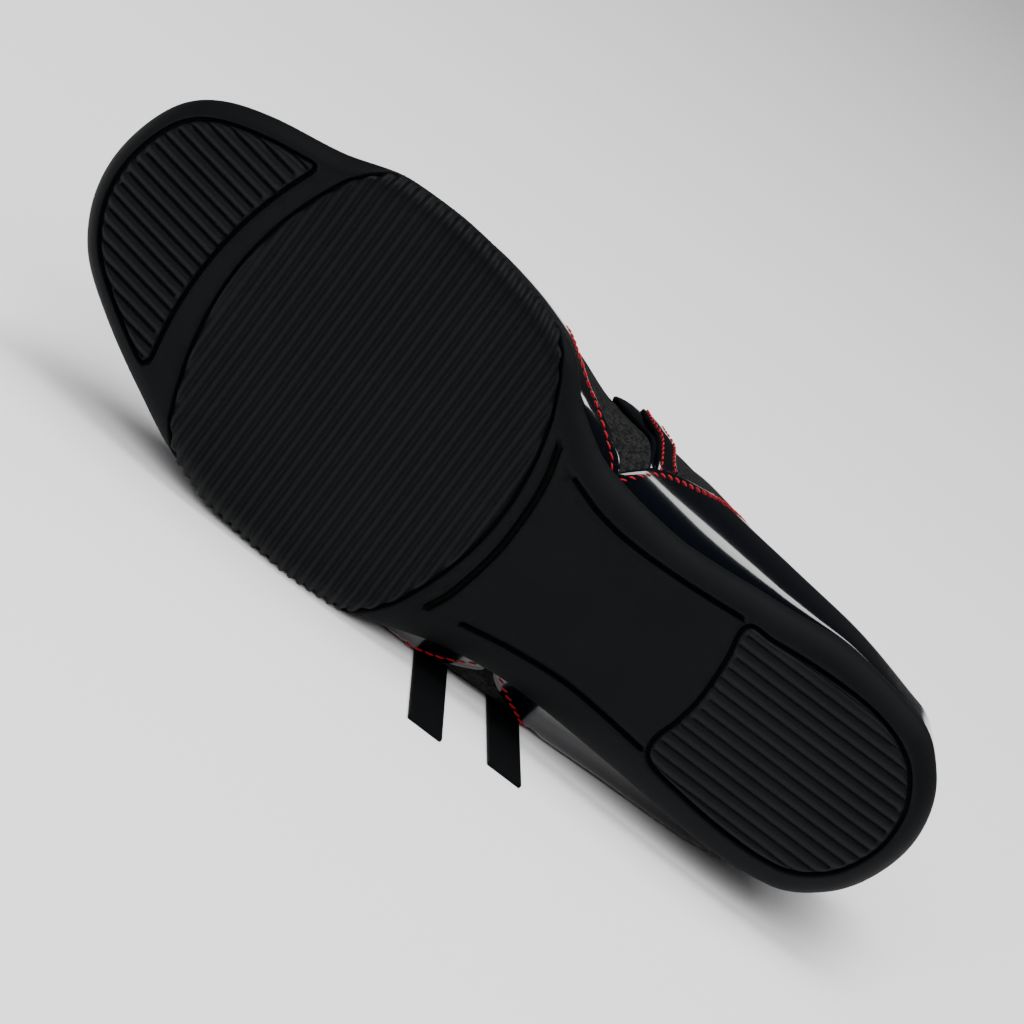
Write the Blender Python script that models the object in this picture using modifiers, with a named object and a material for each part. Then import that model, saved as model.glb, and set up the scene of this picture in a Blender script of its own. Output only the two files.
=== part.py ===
"""Low two-strap athletic shoe, right foot, empty, lying on its outer side.

Shape tables are in millimetres in the shoe's own frame: x runs from the heel end to the toe,
y to the inner (medial) side and z up from the tread. The REST values turn that frame over, so
that the sole faces -Y, the toe points to -X and the outer side lies on the floor at Z = 0.
"""
import math

import bmesh
import bpy
import numpy as np
from mathutils import Matrix

MM = 0.001

# Driving sizes of the shoe
LENGTH = 280.0
WALL = 2.0
GAP = 0.3
SEAM_INSET = 0.6

# How the shoe lies: turned about its long and short axes until the outer side meets the floor
REST_PITCH = math.radians(5.0)
REST_LEAN = math.radians(5.0)
REST_DROP = 51.0
REST_CENTRE_X = 140.0
FOOTPRINT_CENTRE = (0.024, 30.092)

# Sole: plan half widths of the rim, ground line, seam height and radius of the lower edge
SOLE = np.array([
    # x, medial, lateral, ground, seam, edge
    (0.0, 2.0, 2.0, 3.6, 25.0, 6.5),
    (8.0, 22.3, -20.2, 1.5, 24.5, 6.8),
    (21.0, 30.8, -29.5, 0.3, 23.8, 7.5),
    (45.0, 32.7, -33.5, 0.0, 22.0, 8.0),
    (72.0, 28.2, -34.1, 0.5, 19.0, 8.5),
    (104.0, 23.2, -36.0, 2.6, 16.0, 9.0),
    (125.0, 24.5, -40.2, 3.0, 14.5, 9.0),
    (141.0, 31.6, -46.3, 1.6, 13.6, 8.0),
    (154.0, 41.9, -51.5, 0.5, 13.0, 6.0),
    (174.0, 47.0, -54.4, 0.0, 12.5, 5.0),
    (194.0, 48.7, -54.5, 0.0, 12.5, 5.0),
    (214.0, 47.0, -50.8, 0.6, 13.0, 5.0),
    (234.0, 39.4, -43.9, 3.0, 15.5, 5.0),
    (254.0, 33.5, -35.6, 7.2, 19.5, 4.6),
    (267.0, 27.4, -28.2, 10.6, 23.0, 4.4),
    (275.0, 19.4, -19.0, 13.2, 25.5, 4.2),
    (280.0, -1.1, -1.1, 15.0, 27.0, 4.0),
])
EDGE_RISE = 8.0
TOP_INSET = 2.0
SOLE_STATIONS = 57
WRAP_STEPS = 4
TREAD_STEPS = 6

# Tread pads: how deep each is let in, how far it stands proud, and the dark gap round it
PAD_DEPTH = 3.0
PAD_PROUD = 0.6
PAD_MOAT = 1.3
RECESS_REACH = 2.4
TOE_PAD_RIM = 5.3
TOE_PAD_SIDE = 232.0
TOE_PAD_STEPS = (26, 6)
TOE_PAD_REAR = (241.7, 0.005, -1.0)
FOREFOOT_FRONT = (233.8, 0.0062, 2.9)
FOREFOOT_REAR = (139.0, -0.00645, -8.8)
FOREFOOT_WRAP = 7.5
FOREFOOT_STEPS = 15
FOREFOOT_WRAP_STEPS = 5
FOREFOOT_TREAD_STEPS = 6
FOREFOOT_SETTLE = 6
HEEL_PAD_STEPS = (15, 9)
HEEL_PAD = np.array([
    # x, medial, lateral
    (7.2, 2.0, 2.0),
    (13.5, 17.6, -17.2),
    (18.8, 21.2, -21.0),
    (27.9, 23.4, -24.1),
    (40.0, 23.7, -25.6),
    (53.3, 21.9, -25.8),
    (64.0, 19.4, -25.3),
])
HEEL_PAD_FRONT = (65.6, 0.0068, -7.0)

# Upper: the belly of each wall, out from its seam and up, then the collar, throat and toe ridge
BELLY = np.array([
    # x, medial out, medial up, lateral out, lateral up
    (0.0, 1.0, 14.0, 1.0, 14.0),
    (21.0, 0.1, 15.0, 2.6, 8.0),
    (45.0, 1.6, 17.0, 8.0, 5.0),
    (72.0, 7.0, 21.0, 10.0, 5.0),
    (104.0, 12.6, 24.0, 11.8, 6.0),
    (125.0, 12.0, 22.0, 10.2, 5.0),
    (141.0, 5.4, 20.0, 6.0, 4.5),
    (154.0, 0.0, 13.0, 3.6, 6.0),
    (174.0, 0.0, 12.0, 1.0, 8.0),
    (200.0, 0.0, 10.0, 0.3, 8.0),
    (240.0, 0.0, 8.0, 0.0, 8.0),
    (280.0, 0.0, 4.0, 0.0, 4.0),
])
TOPLINE = np.array([
    # x, medial, lateral, height, crown angle of the wall, its reach
    (5.0, 2.0, 2.0, 70.0, -6.0, 0.36),
    (12.0, 14.5, -14.5, 67.5, -4.0, 0.36),
    (30.0, 23.6, -25.0, 60.5, 4.0, 0.36),
    (50.0, 28.2, -28.5, 55.0, 4.0, 0.36),
    (74.0, 29.4, -31.0, 53.5, 2.0, 0.36),
    (90.0, 30.0, -33.0, 60.0, 6.0, 0.36),
    (103.0, 28.6, -30.0, 74.0, 16.0, 0.36),
    (114.0, 25.5, -24.5, 81.0, 28.0, 0.36),
    (132.0, 20.5, -18.5, 79.0, 42.0, 0.36),
    (150.0, 17.0, -14.0, 71.0, 60.0, 0.32),
    (172.0, 1.0, 1.0, 61.0, 90.0, 0.44),
    (200.0, 0.8, 0.8, 51.0, 90.0, 0.52),
    (230.0, 0.0, 0.0, 44.0, 90.0, 0.55),
    (256.0, -0.8, -0.8, 38.5, 90.0, 0.55),
])
THROAT_END = 172.0
THROAT_ROUND = 150.0
BELLY_SHARE = 0.25
WALL_RISE = 0.42
COLLAR_STATIONS = 31
TOE_STATIONS = 17
WALL_STEPS = 13

# Straps lie between the outer wall and the floor, so the wall is pressed in to leave them room
STRAP_THICK = 1.4
STRAP_GAP = 0.6
STRAP_HALF_WIDTH = 5.3
STRAP_ROOM = STRAP_THICK + STRAP_GAP
STRAP_ROOM_SPAN = (86.0, 94.0, 148.0, 160.0)
STRAP_ARCH = 5.0
STRAP_ROOT_FRACTION = 0.40
STRAP_FLOOR_FRACTION = 0.30
STRAP_STEPS = (9, 7, 11, 9)
STRAPS = {
    # x at the root, over the throat, under the outer wall and at the free end; reach of the end
    "strap_front": (123.0, 133.0, 122.4, 111.5, 32.0),
    "strap_rear": (111.5, 117.0, 99.9, 88.9, 22.7),
}

INSOLE_THICK = 3.5
INSOLE_INSET = SEAM_INSET + WALL + 1.6
INSOLE_STEPS = (33, 5)
TONGUE_THICK = 4.0
TONGUE_EDGE_SHARE = 0.5
TONGUE_CENTRE = 1.0
TONGUE_STEPS = (17, 9)
TONGUE = np.array([
    # x, height of the upper face, half width, fall to the edge
    (180.0, 55.0, 15.0, 2.5),
    (165.0, 60.8, 17.0, 3.0),
    (148.0, 66.0, 18.5, 4.0),
    (130.0, 73.5, 19.5, 5.0),
    (112.0, 80.5, 22.0, 6.0),
    (96.0, 90.0, 24.0, 7.0),
    (88.0, 97.0, 22.0, 7.0),
])


def curve(at, values, x):
    """Smooth curve through table rows that never overshoots them."""
    x = np.clip(np.asarray(x, float), at[0], at[-1])
    step = np.diff(at)
    slope = np.diff(values) / step
    tangent = np.zeros(len(at))
    same = slope[1:] * slope[:-1] > 0
    tangent[1:-1][same] = 2 * slope[1:][same] * slope[:-1][same] / (slope[1:] + slope[:-1])[same]
    tangent[0], tangent[-1] = slope[0], slope[-1]
    i = np.clip(np.searchsorted(at, x) - 1, 0, len(step) - 1)
    u = (x - at[i]) / step[i]
    return ((2 * u**3 - 3 * u**2 + 1) * values[i] + (u**3 - 2 * u**2 + u) * step[i] * tangent[i]
            + (3 * u**2 - 2 * u**3) * values[i + 1] + (u**3 - u**2) * step[i] * tangent[i + 1])


def along(s, first=0.0, last=LENGTH):
    """Distance from the heel at station s; stations crowd together at both round ends."""
    return first + (last - first) * 0.5 * (1 - np.cos(np.pi * np.asarray(s, float)))


def station(x, first=0.0, last=LENGTH):
    """Station of a distance from the heel."""
    return np.arccos(np.clip(1 - 2 * (np.asarray(x, float) - first) / (last - first), -1, 1)) / np.pi


def smoothstep(low, high, x):
    """Soft ramp from 0 at low to 1 at high."""
    u = np.clip((np.asarray(x, float) - low) / (high - low), 0, 1)
    return u * u * (3 - 2 * u)


def rim(side, s):
    """Plan point of the sole's rim; side is 1 for medial and -1 for lateral."""
    column = SOLE[:, 1] if side > 0 else SOLE[:, 2]
    return np.stack([along(s), curve(station(SOLE[:, 0]), column, s)], -1)


def rim_normal(side, s):
    """Outward plan normal of the rim."""
    s = np.asarray(s, float)
    small = 0.002
    run = rim(side, np.minimum(s + small, 1)) - rim(side, np.maximum(s - small, 0))
    run[..., 0] = np.where((s <= 0) | (s >= 1), 0.0, run[..., 0])
    run /= np.linalg.norm(run, axis=-1, keepdims=True)
    return side * np.stack([-run[..., 1], run[..., 0]], -1)


def ground(x):
    return curve(SOLE[:, 0], SOLE[:, 3], x)


def seam_height(x):
    return curve(SOLE[:, 0], SOLE[:, 4], x)


def sole_section(s):
    """Outer face of the sole at station s, from the lateral seam under the tread to the medial."""
    columns = []
    for side in (-1, 1):
        edge = curve(SOLE[:, 0], SOLE[:, 5], along(s))
        points = []
        for turn in np.linspace(0, math.pi / 2, WRAP_STEPS):
            back = edge * (1 - math.sin(turn))
            plan = rim(side, s) - rim_normal(side, s) * back[:, None]
            height = ground(plan[:, 0]) + EDGE_RISE * (1 - math.cos(turn))
            points.append(np.column_stack([plan, height]))
        plan = rim(side, s) - rim_normal(side, s) * TOP_INSET
        points.append(np.column_stack([plan, seam_height(plan[:, 0])]))
        columns.append(points)
    lateral, medial = columns
    middle = []
    for share in np.linspace(0, 1, TREAD_STEPS)[1:-1]:
        point = lateral[0] * (1 - share) + medial[0] * share
        point[:, 2] = ground(point[:, 0])
        middle.append(point)
    return np.stack(lateral[::-1] + middle + medial, 1)


def floor_distance(point):
    """Height of a point of the shoe above the floor that it lies on."""
    x, y, z = point[..., 0] - REST_CENTRE_X, point[..., 1], point[..., 2]
    tilt = x * math.sin(REST_PITCH) + y * math.cos(REST_PITCH)
    return tilt * math.cos(REST_LEAN) - z * math.sin(REST_LEAN) + REST_DROP


FLOOR_NORMAL = np.array([math.sin(REST_PITCH) * math.cos(REST_LEAN),
                         math.cos(REST_PITCH) * math.cos(REST_LEAN),
                         -math.sin(REST_LEAN)])


def press(point, room=0.0):
    """Soft parts flatten where they would pass the floor, or the straps that lie on it."""
    sunk = np.maximum(room - floor_distance(point), 0)
    return point + sunk[..., None] * FLOOR_NORMAL


def strap_room(x):
    start, full, ease, end = STRAP_ROOM_SPAN
    return STRAP_ROOM * smoothstep(start, full, x) * (1 - smoothstep(ease, end, x))


def topline(side, s):
    """Upper end of the wall at station s: collar, throat edge or toe ridge."""
    first, last = TOPLINE[0, 0], TOPLINE[-1, 0]
    x = along(s, first, last)
    column = TOPLINE[:, 1] if side > 0 else TOPLINE[:, 2]
    ridge_rows = TOPLINE[TOPLINE[:, 0] >= THROAT_END]
    ridge = curve(ridge_rows[:, 0], ridge_rows[:, 1], x)
    collar_rows = TOPLINE[:, 0] <= THROAT_ROUND
    collar = curve(station(TOPLINE[collar_rows, 0], first, last), column[collar_rows], s)
    share = np.clip((THROAT_END - x) / (THROAT_END - THROAT_ROUND), 0, 1)
    y = ridge + (collar - ridge) * np.sqrt(share)
    return np.stack([x, y, curve(TOPLINE[:, 0], TOPLINE[:, 3], x)], -1)


def upper_point(side, s, t):
    """Outer face of the upper: t runs from 0 at the sole seam, past the belly, to 1 at the topline."""
    s = np.asarray(s, float)
    t = np.asarray(t, float)[..., None]
    normal = rim_normal(side, s)
    plan = rim(side, s) - normal * (TOP_INSET + SEAM_INSET)
    low = np.concatenate([plan, (seam_height(plan[..., 0]) + GAP)[..., None]], -1)
    high = topline(side, s)
    out, up = (curve(BELLY[:, 0], BELLY[:, column if side > 0 else column + 2], along(s))
               for column in (1, 2))
    turn = np.clip(t / BELLY_SHARE, 0, 1) * math.pi / 2
    outward = np.concatenate([normal, np.zeros_like(normal[..., :1])], -1)
    upward = np.array([0.0, 0.0, 1.0])
    lower = low + outward * out[..., None] * np.sin(turn) + upward * up[..., None] * (1 - np.cos(turn))
    belly = low + outward * out[..., None] + upward * up[..., None]
    crown = np.radians(curve(TOPLINE[:, 0], TOPLINE[:, 4], high[..., 0]))
    reach = curve(TOPLINE[:, 0], TOPLINE[:, 5], high[..., 0]) * np.linalg.norm(high - belly, axis=-1)
    first = belly + upward * (WALL_RISE * (high - belly)[..., 2])[..., None]
    lean = outward * np.sin(crown)[..., None] - upward * np.cos(crown)[..., None]
    second = high + lean * reach[..., None]
    u = np.clip((t - BELLY_SHARE) / (1 - BELLY_SHARE), 0, 1)
    higher = ((1 - u) ** 3 * belly + 3 * (1 - u) ** 2 * u * first
              + 3 * (1 - u) * u**2 * second + u**3 * high)
    point = np.where(t < BELLY_SHARE, lower, higher)
    return press(point, strap_room(point[..., 0]))


def upper_normal(side, s, t):
    """Outward normal of the upper's face."""
    small = 0.004
    s = np.asarray(s, float)
    t = np.asarray(t, float)
    by_s = (upper_point(side, np.minimum(s + small, 1), t)
            - upper_point(side, np.maximum(s - small, 0), t))
    by_t = (upper_point(side, s, np.minimum(t + small, 1))
            - upper_point(side, s, np.maximum(t - small, 0)))
    cross = side * np.cross(by_t, by_s)
    return cross / np.linalg.norm(cross, axis=-1, keepdims=True)


def upper_station(x):
    """Station whose wall meets the topline at a distance from the heel."""
    return station(x, TOPLINE[0, 0], TOPLINE[-1, 0])


def rest_empty():
    """Empty that carries every piece and lays the shoe on its outer side."""
    turned = Matrix(((-1, 0, 0, REST_CENTRE_X * MM), (0, 0, 1, 0), (0, 1, 0, 0), (0, 0, 0, 1)))
    pitch = Matrix.Rotation(REST_PITCH, 4, "Y")
    lean = Matrix.Rotation(-REST_LEAN, 4, "X")
    centre_x, centre_y = FOOTPRINT_CENTRE
    shift = Matrix.Translation((-centre_x * MM, -centre_y * MM, REST_DROP * MM))
    empty = bpy.data.objects.new("shoe_rest", None)
    bpy.context.scene.collection.objects.link(empty)
    empty.matrix_world = shift @ lean @ pitch @ turned
    return empty


def finish(name, colour, roughness):
    """Material of one sub-part."""
    material = bpy.data.materials.new(name)
    material.use_nodes = True
    shader = material.node_tree.nodes["Principled BSDF"]
    shader.inputs["Base Color"].default_value = (*colour, 1.0)
    shader.inputs["Roughness"].default_value = roughness
    return material


def grid_object(name, grids, closed, collection, rest, material=None):
    """Object from one or more grids of points; a closed grid joins its last column to its first."""
    mesh = bpy.data.meshes.new(name)
    shape = bmesh.new()
    for grid in grids:
        rows, columns = grid.shape[:2]
        points = [[shape.verts.new(point) for point in row] for row in grid]
        for i in range(rows - 1):
            for j in range(columns if closed else columns - 1):
                k = (j + 1) % columns
                shape.faces.new((points[i][j], points[i][k], points[i + 1][k], points[i + 1][j]))
    bmesh.ops.remove_doubles(shape, verts=shape.verts, dist=0.01)
    bmesh.ops.dissolve_degenerate(shape, edges=shape.edges, dist=0.001)
    bmesh.ops.recalc_face_normals(shape, faces=shape.faces)
    shape.transform(Matrix.Scale(MM, 4))
    shape.to_mesh(mesh)
    shape.free()
    mesh.shade_smooth()
    item = bpy.data.objects.new(name, mesh)
    item.parent = rest
    collection.objects.link(item)
    if material:
        mesh.materials.append(material)
    return item


def slab(upper_face, lower_face):
    """Closed grid of a plate from its two faces, each a grid of the same size."""
    return np.concatenate([upper_face, lower_face[:, ::-1]], 1)


def cap(grid):
    """Closes both ends of a tube-like grid by drawing its end rings in to a line."""
    half = grid.shape[1] // 2
    ends = []
    for ring in (grid[0], grid[-1]):
        middle = 0.5 * (ring[:half] + ring[half:][::-1])
        ends.append(np.concatenate([middle, middle[::-1]]))
    return np.concatenate([ends[0][None], grid, ends[1][None]], 0)


def shell(item, thickness, offset):
    """Gives a sheet its thickness."""
    solid = item.modifiers.new("thickness", "SOLIDIFY")
    solid.thickness = thickness * MM
    solid.offset = offset
    solid.use_even_offset = False
    solid.use_quality_normals = True


def cut(item, cutter):
    """Takes a cutter's volume out of an object."""
    step = item.modifiers.new("let in " + cutter.name, "BOOLEAN")
    step.operation = "DIFFERENCE"
    step.object = cutter
    step.solver = "EXACT"


def arc(shape, y):
    """Curved pad edge: distance from the heel at the crown, bow per square millimetre, centre."""
    crown, bow, centre = shape
    return crown - bow * (y - centre) ** 2


def toe_pad(grow, proud, depth):
    """Crescent behind the toe rim, between the rear bow and the rim's own outline."""
    around, across = TOE_PAD_STEPS
    s = np.linspace(station(TOE_PAD_SIDE), 1, around)
    ring = [rim(side, s) - rim_normal(side, s) * (TOE_PAD_RIM - grow) for side in (-1, 1)]
    front = np.concatenate([ring[0][:-1], ring[1][::-1]])
    keep = front[:, 0] > arc(TOE_PAD_REAR, front[:, 1]) - grow
    front = front[keep]
    rear_x = arc(TOE_PAD_REAR, front[:, 1]) - grow
    rows = []
    for share in np.linspace(0, 1, across):
        x = rear_x + (front[:, 0] - rear_x) * share
        rows.append(np.stack([x, front[:, 1]], -1))
    return pad_faces(np.stack(rows, 1), proud, depth)


def pad_faces(plan, proud, depth):
    """Lower and upper faces of a pad over its plan grid, along the tread's ground line."""
    height = ground(plan[..., 0])
    lower = np.concatenate([plan, (height - proud)[..., None]], -1)
    upper = np.concatenate([plan, (height + depth)[..., None]], -1)
    return cap(slab(upper, lower))


def heel_pad(grow, proud, depth):
    """Rounded pad under the heel with a hollow front edge."""
    length_steps, width_steps = HEEL_PAD_STEPS
    rear, front_corner = HEEL_PAD[0, 0], HEEL_PAD[-1, 0]
    span = (rear, 2 * front_corner - rear)
    s = np.linspace(0, 0.5, length_steps)
    x = along(s, *span)
    sides = [curve(station(HEEL_PAD[:, 0], *span), HEEL_PAD[:, column], s) for column in (2, 1)]
    crown, bow, centre = HEEL_PAD_FRONT
    rows = []
    for share in np.linspace(0, 1, width_steps):
        y = sides[0] + (sides[1] - sides[0]) * share
        front = crown + bow * (y[-1] - centre) ** 2
        stretch = (front - x[0]) / (x[-1] - x[0])
        rows.append(np.stack([x[0] + (x - x[0]) * stretch, y], -1))
    plan = np.stack(rows, 1)
    middle = plan.reshape(-1, 2).mean(0)
    size = np.ptp(plan.reshape(-1, 2), axis=0)
    plan = middle + (plan - middle) * (1 + 2 * grow / size)
    lower = np.concatenate([plan, np.full(plan.shape[:2] + (1,), -proud)], -1)
    upper = np.concatenate([plan, np.full(plan.shape[:2] + (1,), depth)], -1)
    return cap(slab(upper, lower))


def forefoot_pad(grow, proud, depth):
    """Lens across the ball of the foot, carried up round both edges of the sole."""
    turns = np.linspace(0, math.pi / 2, FOREFOOT_WRAP_STEPS)
    middle = 0.5 * (FOREFOOT_REAR[0] + FOREFOOT_FRONT[0])
    rows = {"outer": [], "inner": []}
    for share in np.linspace(0, 1, FOREFOOT_STEPS):
        for name, inset in (("outer", -proud), ("inner", depth)):
            x = np.full(2 * FOREFOOT_WRAP_STEPS + FOREFOOT_TREAD_STEPS, middle)
            for _ in range(FOREFOOT_SETTLE):
                point = sole_strip(x, turns, inset, grow)
                rear = arc(FOREFOOT_REAR, point[:, 1]) - grow
                front = arc(FOREFOOT_FRONT, point[:, 1]) + grow
                x = rear + (front - rear) * share
            rows[name].append(sole_strip(x, turns, inset, grow))
    return cap(slab(np.stack(rows["inner"]), np.stack(rows["outer"])))


def sole_strip(x, turns, inset, grow):
    """One row of points across the sole's outer face, each at its own distance from the heel."""
    count = len(turns)
    s = station(x)
    edge = curve(SOLE[:, 0], SOLE[:, 5], x)
    wrap = (FOREFOOT_WRAP + grow) / EDGE_RISE
    out = np.zeros((len(x), 3))
    ends = {}
    for side, rows in ((-1, range(count)), (1, range(len(x) - count, len(x)))):
        for order, k in enumerate(rows):
            turn = turns[count - 1 - order] if side < 0 else turns[order]
            turn *= min(wrap, 1.0)
            back = inset + (edge[k] - inset) * (1 - math.sin(turn))
            plan = rim(side, s[k:k + 1])[0] - rim_normal(side, s[k:k + 1])[0] * back
            height = ground(x[k]) + inset + (EDGE_RISE - inset) * (1 - math.cos(turn))
            out[k] = (x[k], plan[1], height)
        ends[side] = out[count - 1, 1] if side < 0 else out[len(x) - count, 1]
    middle = range(count, len(x) - count)
    for order, k in enumerate(middle):
        share = (order + 1) / (len(middle) + 1)
        out[k] = (x[k], ends[-1] + (ends[1] - ends[-1]) * share, ground(x[k]) + inset)
    return out


def outsole_grid():
    """Rubber sole as a closed loft: outer face and the flat that the upper stands on."""
    outer = press(sole_section(np.linspace(0, 1, SOLE_STATIONS)))
    lateral, medial = outer[:, 0], outer[:, -1]
    shares = np.linspace(0, 1, TREAD_STEPS)[1:-1]
    top = [lateral * (1 - share) + medial * share for share in shares]
    for points in top:
        points[:, 2] = seam_height(points[:, 0])
    return np.concatenate([outer, np.stack(top[::-1], 1)], 1)


def insole_grid():
    """Foam sock liner on the sole's flat, just inside the upper's wall."""
    length_steps, width_steps = INSOLE_STEPS
    s = np.linspace(0, 1, length_steps)
    edges = [rim(side, s) - rim_normal(side, s) * (TOP_INSET + INSOLE_INSET) for side in (-1, 1)]
    faces = []
    for lift in (GAP + INSOLE_THICK, GAP):
        rows = []
        for share in np.linspace(0, 1, width_steps):
            plan = edges[0] * (1 - share) + edges[1] * share
            rows.append(np.column_stack([plan, seam_height(plan[:, 0]) + lift]))
        faces.append(np.stack(rows, 1))
    return slab(*faces)


def upper_grids():
    """Both walls of the upper, which join at the heel and along the toe ridge."""
    throat = float(upper_station(THROAT_END))
    s = np.concatenate([np.linspace(0, throat, COLLAR_STATIONS),
                        np.linspace(throat, 1, TOE_STATIONS)[1:]])
    grid_s, grid_t = np.meshgrid(s, np.linspace(0, 1, WALL_STEPS), indexing="ij")
    return [upper_point(side, grid_s, grid_t) for side in (-1, 1)]


def tongue_grid():
    """Padded woven tongue under the throat, standing above the collar."""
    length_steps, width_steps = TONGUE_STEPS
    x = np.linspace(TONGUE[0, 0], TONGUE[-1, 0], length_steps)
    flip = TONGUE[::-1]
    height, half, fall = (curve(flip[:, 0], flip[:, column], x) for column in (1, 2, 3))
    faces = []
    for drop in (0.0, TONGUE_THICK):
        rows = []
        for share in np.linspace(-1, 1, width_steps):
            z = height - fall * share**2 - drop * (1 - TONGUE_EDGE_SHARE * share**2)
            rows.append(np.column_stack([x, TONGUE_CENTRE + half * share, z]))
        faces.append(np.stack(rows, 1))
    return cap(slab(*faces))


def strap_sheet(root_x, over_x, under_x, end_x, reach):
    """Middle face of one strap: up the inner wall, over the throat, under the outer wall and out."""
    lift = STRAP_GAP + 0.5 * STRAP_THICK
    widths = np.array([-1.0, 0.0, 1.0]) * STRAP_HALF_WIDTH
    up_steps, over_steps, down_steps, free_steps = STRAP_STEPS

    def beside(side, x, t):
        s = upper_station(x + widths)
        t = np.full(len(widths), t)
        return upper_point(side, s, t) + lift * upper_normal(side, s, t)

    rows = []
    for share in np.linspace(0, 1, up_steps):
        t = STRAP_ROOT_FRACTION + (1 - STRAP_ROOT_FRACTION) * share
        rows.append(beside(1, root_x + (over_x - root_x) * share, t))
    inner_edge, outer_edge = beside(1, over_x, 1.0), beside(-1, over_x, 1.0)
    for share in np.linspace(0, 1, over_steps)[1:-1]:
        point = inner_edge * (1 - share) + outer_edge * share
        point[:, 2] += STRAP_ARCH * 4 * share * (1 - share)
        rows.append(point)
    for share in np.linspace(0, 1, down_steps):
        t = 1 + (STRAP_FLOOR_FRACTION - 1) * share
        rows.append(beside(-1, over_x + (under_x - over_x) * share, t))
    last = rows[-1]
    for share in np.linspace(0, 1, free_steps)[1:]:
        x = last[:, 0] + (end_x - under_x) * share
        point = np.column_stack([x, last[:, 1], last[:, 2] * (1 - share) - reach * share])
        drop = floor_distance(point) - 0.5 * STRAP_THICK
        rows.append(point - drop[:, None] * FLOOR_NORMAL)
    return press(np.stack(rows), 0.5 * STRAP_THICK)


def main():
    for item in list(bpy.data.objects):
        bpy.data.objects.remove(item, do_unlink=True)
    rest = rest_empty()
    parts = bpy.data.collections.new("two_strap_shoe")
    cutters = bpy.data.collections.new("cutters")
    for collection in (parts, cutters):
        bpy.context.scene.collection.children.link(collection)

    rubber = finish("black rubber", (0.012, 0.013, 0.014), 0.6)
    tread = finish("tread rubber", (0.016, 0.017, 0.018), 0.65)
    patent = finish("black patent", (0.004, 0.005, 0.007), 0.08)
    weave = finish("black weave", (0.012, 0.012, 0.013), 0.9)
    foam = finish("sock liner", (0.010, 0.010, 0.010), 0.9)

    outsole = grid_object("outsole", [outsole_grid()], True, parts, rest, rubber)
    pads = {"toe_pad": toe_pad, "forefoot_pad": forefoot_pad, "heel_pad": heel_pad}
    for name, shape in pads.items():
        grid_object(name, [press(shape(0.0, PAD_PROUD, PAD_DEPTH))], True, parts, rest, tread)
        cutter = grid_object(name + "_recess", [shape(PAD_MOAT, RECESS_REACH, PAD_DEPTH + GAP)],
                             True, cutters, rest)
        cutter.hide_render = True
        cutter.display_type = "WIRE"
        cut(outsole, cutter)

    grid_object("insole", [insole_grid()], True, parts, rest, foam)
    upper = grid_object("upper", upper_grids(), False, parts, rest, patent)
    shell(upper, WALL, -1.0)
    grid_object("tongue", [tongue_grid()], True, parts, rest, weave)
    for name, row in STRAPS.items():
        strap = grid_object(name, [strap_sheet(*row)], False, parts, rest, patent)
        shell(strap, STRAP_THICK, 0.0)


main()
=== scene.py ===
"""Looks of a low two-strap athletic shoe: a right shoe, empty, lying on its outer side.

Shapes are worked out in the shoe's own frame, in millimetres: x from the heel end to the toe,
y to the inner (medial) side, z up from the tread. They are then laid down as the solids lie.
"""
import math

import bmesh
import bpy
import numpy as np
from mathutils import Matrix, Vector
from mathutils.geometry import delaunay_2d_cdt


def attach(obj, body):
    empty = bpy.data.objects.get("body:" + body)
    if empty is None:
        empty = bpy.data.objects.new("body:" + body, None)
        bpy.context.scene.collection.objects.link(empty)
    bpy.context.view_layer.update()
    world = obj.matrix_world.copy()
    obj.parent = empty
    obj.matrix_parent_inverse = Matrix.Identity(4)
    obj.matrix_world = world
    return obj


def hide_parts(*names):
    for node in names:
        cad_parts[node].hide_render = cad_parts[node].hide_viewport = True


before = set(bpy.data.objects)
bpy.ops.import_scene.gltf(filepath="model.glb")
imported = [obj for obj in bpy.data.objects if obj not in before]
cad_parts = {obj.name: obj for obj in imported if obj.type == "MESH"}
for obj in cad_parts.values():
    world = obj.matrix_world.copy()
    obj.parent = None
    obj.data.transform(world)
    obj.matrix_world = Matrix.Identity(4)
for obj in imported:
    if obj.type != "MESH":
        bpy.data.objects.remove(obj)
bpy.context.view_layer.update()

# How the shoe lies, and the camera.
# The shoe lies on its outer side with the sole towards the camera, which looks at the tread
# from the photograph's angle, rolled as the photograph is.
MM = 0.001
REST_PITCH = math.radians(5.0)
REST_LEAN = math.radians(5.0)
REST_DROP = 51.0
REST_CENTRE_X = 140.0
FOOTPRINT_CENTRE = (0.024, 30.092)
CAMERA_TILT = math.radians(10.0)
CAMERA_ROLL = math.radians(42.0)
CAMERA_DISTANCE = 1300.0
CAMERA_AIM = np.array([140.35, 3.4, 0.0])
CAMERA_LENS = 174.4
CAMERA_SHIFT = -16 / 1024

turned = Matrix(((-1, 0, 0), (0, 0, 1), (0, 1, 0)))
REST_TURN = np.array(Matrix.Rotation(-REST_LEAN, 3, "X") @ Matrix.Rotation(REST_PITCH, 3, "Y") @ turned)


def rest(points):
    """Places of the shoe's points, in millimetres, as they lie on the floor, in metres."""
    laid = (np.asarray(points, float) - (REST_CENTRE_X, 0, 0)) @ REST_TURN.T
    return (laid + (-FOOTPRINT_CENTRE[0], -FOOTPRINT_CENTRE[1], REST_DROP)) * MM


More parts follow.
